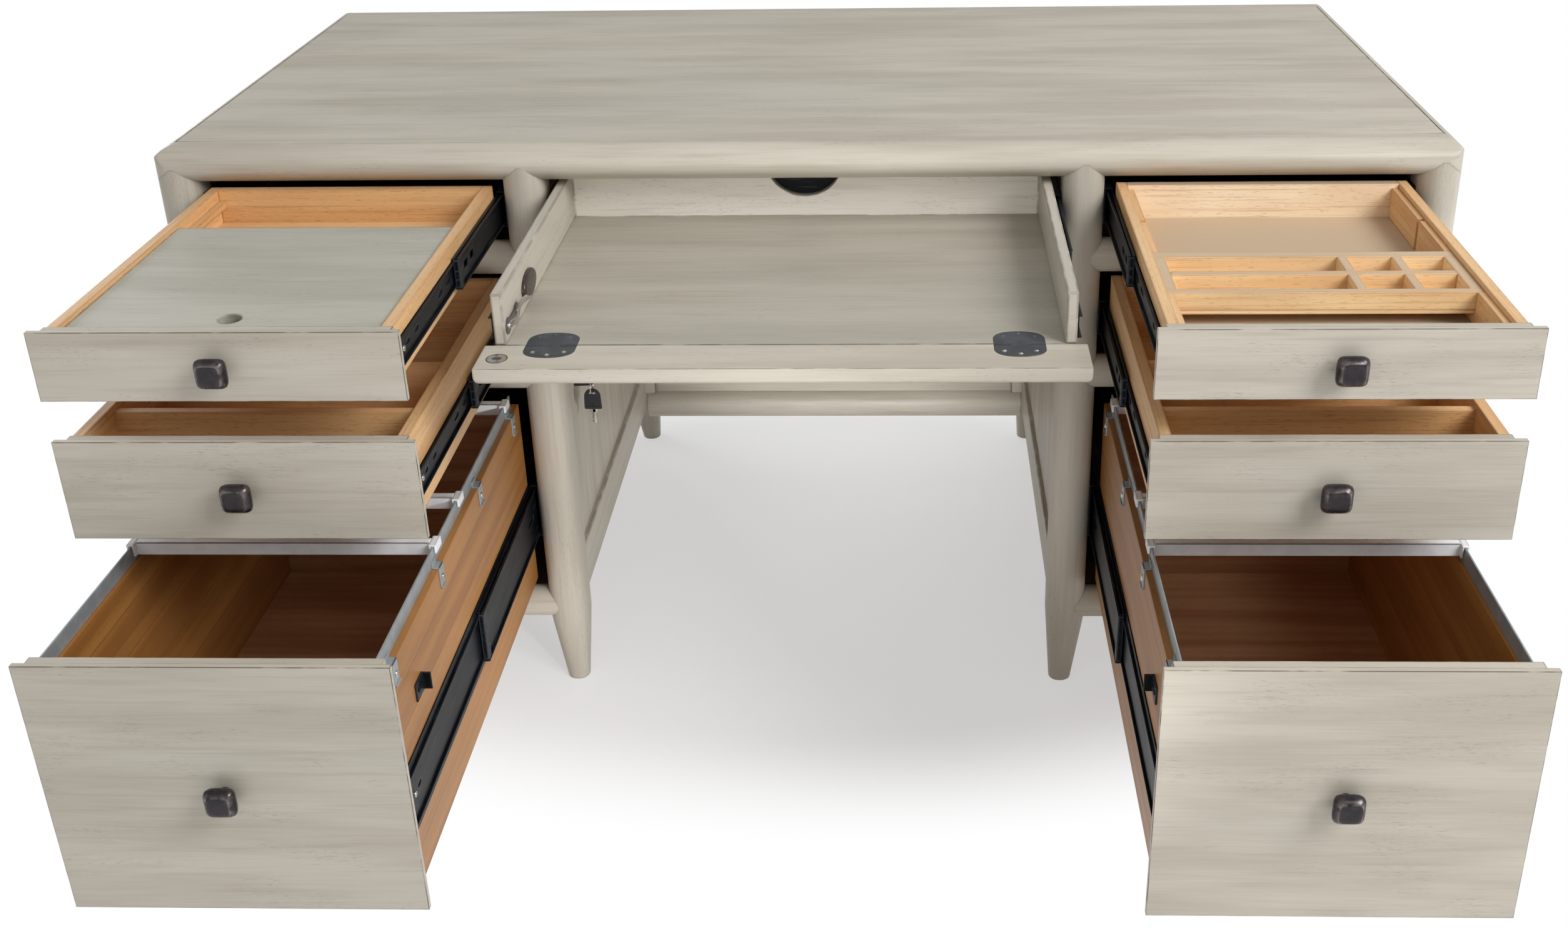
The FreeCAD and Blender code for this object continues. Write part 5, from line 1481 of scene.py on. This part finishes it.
cam_half = 0.0045
cam_gauge = 0.002
cam_ease = 0.0004
lock_low, lock_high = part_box("lock_cylinder")
key_low, key_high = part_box("lock_key")
lock_y = (lock_low.y + lock_high.y) / 2
lock_z = (lock_low.z + lock_high.z) / 2
lock = (-knee_half - panel_recess, lock_y, lock_z)
collar = [(0.0080, -0.020), (0.0080, 0.0), (0.0085, 0.0), (0.0085, 0.0018), (0.0080, 0.0026),
          (0.0070, 0.0030), (0.0060, 0.0030), (0.0056, 0.0022)]
piece("lock_ring", [lathed(lock, 0, collar)], nickel, "desk", ["lock_cylinder"])
bow, blade = key(lock_y, lambda flat: flat * [-1, 1] + [key_high.x, lock_z])
plug = lathed(lock, 0, [(0.0055, -0.0205), (0.0055, 0.0026), (0.0051, 0.0030)])
cam = board((key_low.x, lock_y - cam_half, key_low.z),
            (key_low.x + cam_gauge, lock_y + cam_half, lock_z + cam_half), cam_ease, "z")
piece("key_blade_plug_and_cam", blade + [plug, cam], nickel, "turning_key", ["lock_key"])
piece("key_bow", bow, black_bow, "turning_key")

ring_round = 0.0093
ring_wire = 0.0009
ring_play = 0.0003
ring_x = key_high.x - slot_inset
ring_z = lock_z - slot_side - slot_straight + ring_play + ring_wire - ring_round
top_z = ring_z - ring_round + ring_wire + ring_play - slot_side + slot_inset
bow, blade = key(lock_y, lambda flat: flat[..., ::-1] * [1, -1] + [ring_x, top_z])
blade.append(wire_ring((ring_x, lock_y, ring_z), ring_round, ring_wire))
piece("spare_key_ring_and_blade", blade, nickel, "spare_key", ["hanging_key"])
piece("spare_key_bow", bow, black_bow, "spare_key")


# Inside of the case: boards between the drawers and the battens that carry the slides, coloured dark brown,
# and the case members of all slides. Their own shapes stay as built.

def in_place(add):
    """Places in the desk's own frame, turned so that the first runs back along the boards."""
    place = add("TexCoord").outputs["Object"]
    return add("Mapping", {"Vector": place, "Rotation": (0, 0, math.pi / 2)}).outputs["Vector"]


# Dark brown tone for the boards inside the case.
dark_inner_board, shader, add = new_finish("dark_inner_board_finish")
grain = in_place(add)
fibres = drawn_out(add, grain, 0.040, 0.0012)
tone = two_toned(add, drawn_out(add, grain, 0.40, 0.016, 3.0), (0.34, 0.66), (82, 66, 52), (116, 96, 76))
tone = tinted(add, tone, (58, 45, 36), 0.4, fibres, (0.52, 0.72))
tone = tinted(add, tone, (150, 140, 126), 0.35, drawn_out(add, grain, 0.06, 0.05, 3.0), (0.52, 0.75))
surfaced(add, shader, tone, 0.75, fibres, 0.2, 0.0005)
case_steel = coated_steel("black_case_slide_steel", (20, 23, 28), in_place)
for node, finish, name in (("pedestal_boards", dark_inner_board, "dark_inner_wood"),
                           ("case_slides", case_steel, "black_slide_steel")):
    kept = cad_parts[node]
    kept.data.materials.clear()
    kept.data.materials.append(finish)


# Photographer's studio: a pale floor and an even grey surround, a soft key light high on the right, weak
# fills on the left and behind, and three spots from the front, low over the tray, on the modesty panel and
# on the left of the kneehole. The camera stands where the photograph's stood.

floor_half = 9.0
floor_mesh = bpy.data.meshes.new("studio_floor")
floor_corners = [(x * floor_half, y * floor_half, 0) for x, y in ((-1, -1), (1, -1), (1, 1), (-1, 1))]
floor_mesh.from_pydata(floor_corners, [], [(0, 1, 2, 3)])
floor = bpy.data.objects.new("studio_floor", floor_mesh)
bpy.context.scene.collection.objects.link(floor)
paper, shader, add = new_finish("studio_paper")
shader.inputs["Base Color"].default_value = linear(245, 245, 246)
shader.inputs["Roughness"].default_value = 0.9
# Painted light: to the camera and in reflections the floor also glows white, fully away from the desk and
# half as much near it, which lightens its shading.
seen = add("LightPath").outputs
any_view = add("Math", {0: seen["Is Camera Ray"], 1: seen["Is Glossy Ray"]}, operation="MAXIMUM").outputs[0]
floor_glow = add("Emission", {"Color": (1, 1, 1, 1), "Strength": 1.0})
place = add("TexCoord").outputs["Object"]
middle = add("VectorMath", {0: place, 1: (0.0, 0.25, 0.0)}, operation="SUBTRACT").outputs[0]
reach = add("VectorMath", {0: middle, 1: (0.6, 1.0, 1.0)}, operation="MULTIPLY").outputs[0]
away = between(add, add("VectorMath", {0: reach}, operation="LENGTH").outputs["Value"], 0.42, 0.64)
lift = product(add, any_view, sloped(add, away, 0.5, 0.5))
both = add("MixShader", {0: lift, 1: shader.outputs[0], 2: floor_glow.outputs[0]}).outputs[0]
output = next(node for node in paper.node_tree.nodes if node.type == "OUTPUT_MATERIAL")
paper.node_tree.links.new(both, output.inputs["Surface"])
floor_mesh.materials.append(paper)

world = bpy.data.worlds.new("studio_surround")
world.use_nodes = True
bpy.context.scene.world = world
tree = world.node_tree
path = tree.nodes.new("ShaderNodeLightPath")
strength = tree.nodes.new("ShaderNodeMapRange")
strength.inputs["To Min"].default_value = 0.46
strength.inputs["To Max"].default_value = 1.0
tree.links.new(path.outputs["Is Camera Ray"], strength.inputs["Value"])
tree.links.new(strength.outputs[0], tree.nodes["Background"].inputs["Strength"])
tree.nodes["Background"].inputs["Color"].default_value = (1, 1, 1, 1)


def stood(name, data, place, turned):
    """Stands a lamp or the camera at a place, turned as a quaternion says."""
    made = bpy.data.objects.new(name, data)
    bpy.context.scene.collection.objects.link(made)
    made.location = place
    made.rotation_mode = "QUATERNION"
    made.rotation_quaternion = turned
    return made


def lamp(name, kind, place, aim, power, **settings):
    """A lamp of a kind at a place, facing its aim, with its power in watts and its own settings."""
    data = bpy.data.lights.new(name, kind)
    data.energy = power
    for key, value in settings.items():
        setattr(data, key, value)
    away = (Vector(place) - Vector(aim)).normalized()
    stood(name, data, place, away.to_track_quat("Z", "Y"))


def soft_light(name, place, aim, size, power):
    """A square area lamp."""
    lamp(name, "AREA", place, aim, power, shape="SQUARE", size=size)


def spot_light(name, place, aim, size, angle, power):
    """A soft edged spot lamp; the angle is in degrees."""
    lamp(name, "SPOT", place, aim, power, spot_size=math.radians(angle), spot_blend=0.6,
         shadow_soft_size=size)


soft_light("key_light", (2.8, -2.0, 3.2), (0.2, -0.1, 0.5), 2.0, 136)
soft_light("fill_light", (-2.6, -2.4, 2.2), (-0.2, -0.2, 0.4), 2.4, 5)
soft_light("rear_fill_light", (-3.0, 2.6, 0.9), (-0.3, 0.5, 0.4), 1.4, 34)
spot_light("low_front_light", (0.0, -1.9, 0.86), (0.0, 0.1, 0.668), 0.25, 24, 28)
spot_light("modesty_light", (0.16, -2.3, 0.70), (0.02, 0.55, 0.22), 0.12, 13, 190)
spot_light("left_kneehole_light", (1.25, -2.2, 0.85), (-0.31, -0.05, 0.24), 0.12, 14, 150)

camera_data = bpy.data.cameras.new("photograph_camera")
camera_data.sensor_width = 36.0
camera_data.lens = 36.515
camera_data.shift_x = -0.05
camera_data.shift_y = -0.10
facing = (Matrix.Rotation(0.03245, 3, "Z") @ Matrix.Rotation(math.pi / 2 - 0.41784, 3, "X")
          @ Matrix.Rotation(-0.01665, 3, "Z"))
bpy.context.scene.camera = stood("photograph_camera", camera_data, (0.12698, -1.84035, 1.34496),
                                 facing.to_quaternion())
bpy.context.scene.view_settings.view_transform = "Standard"
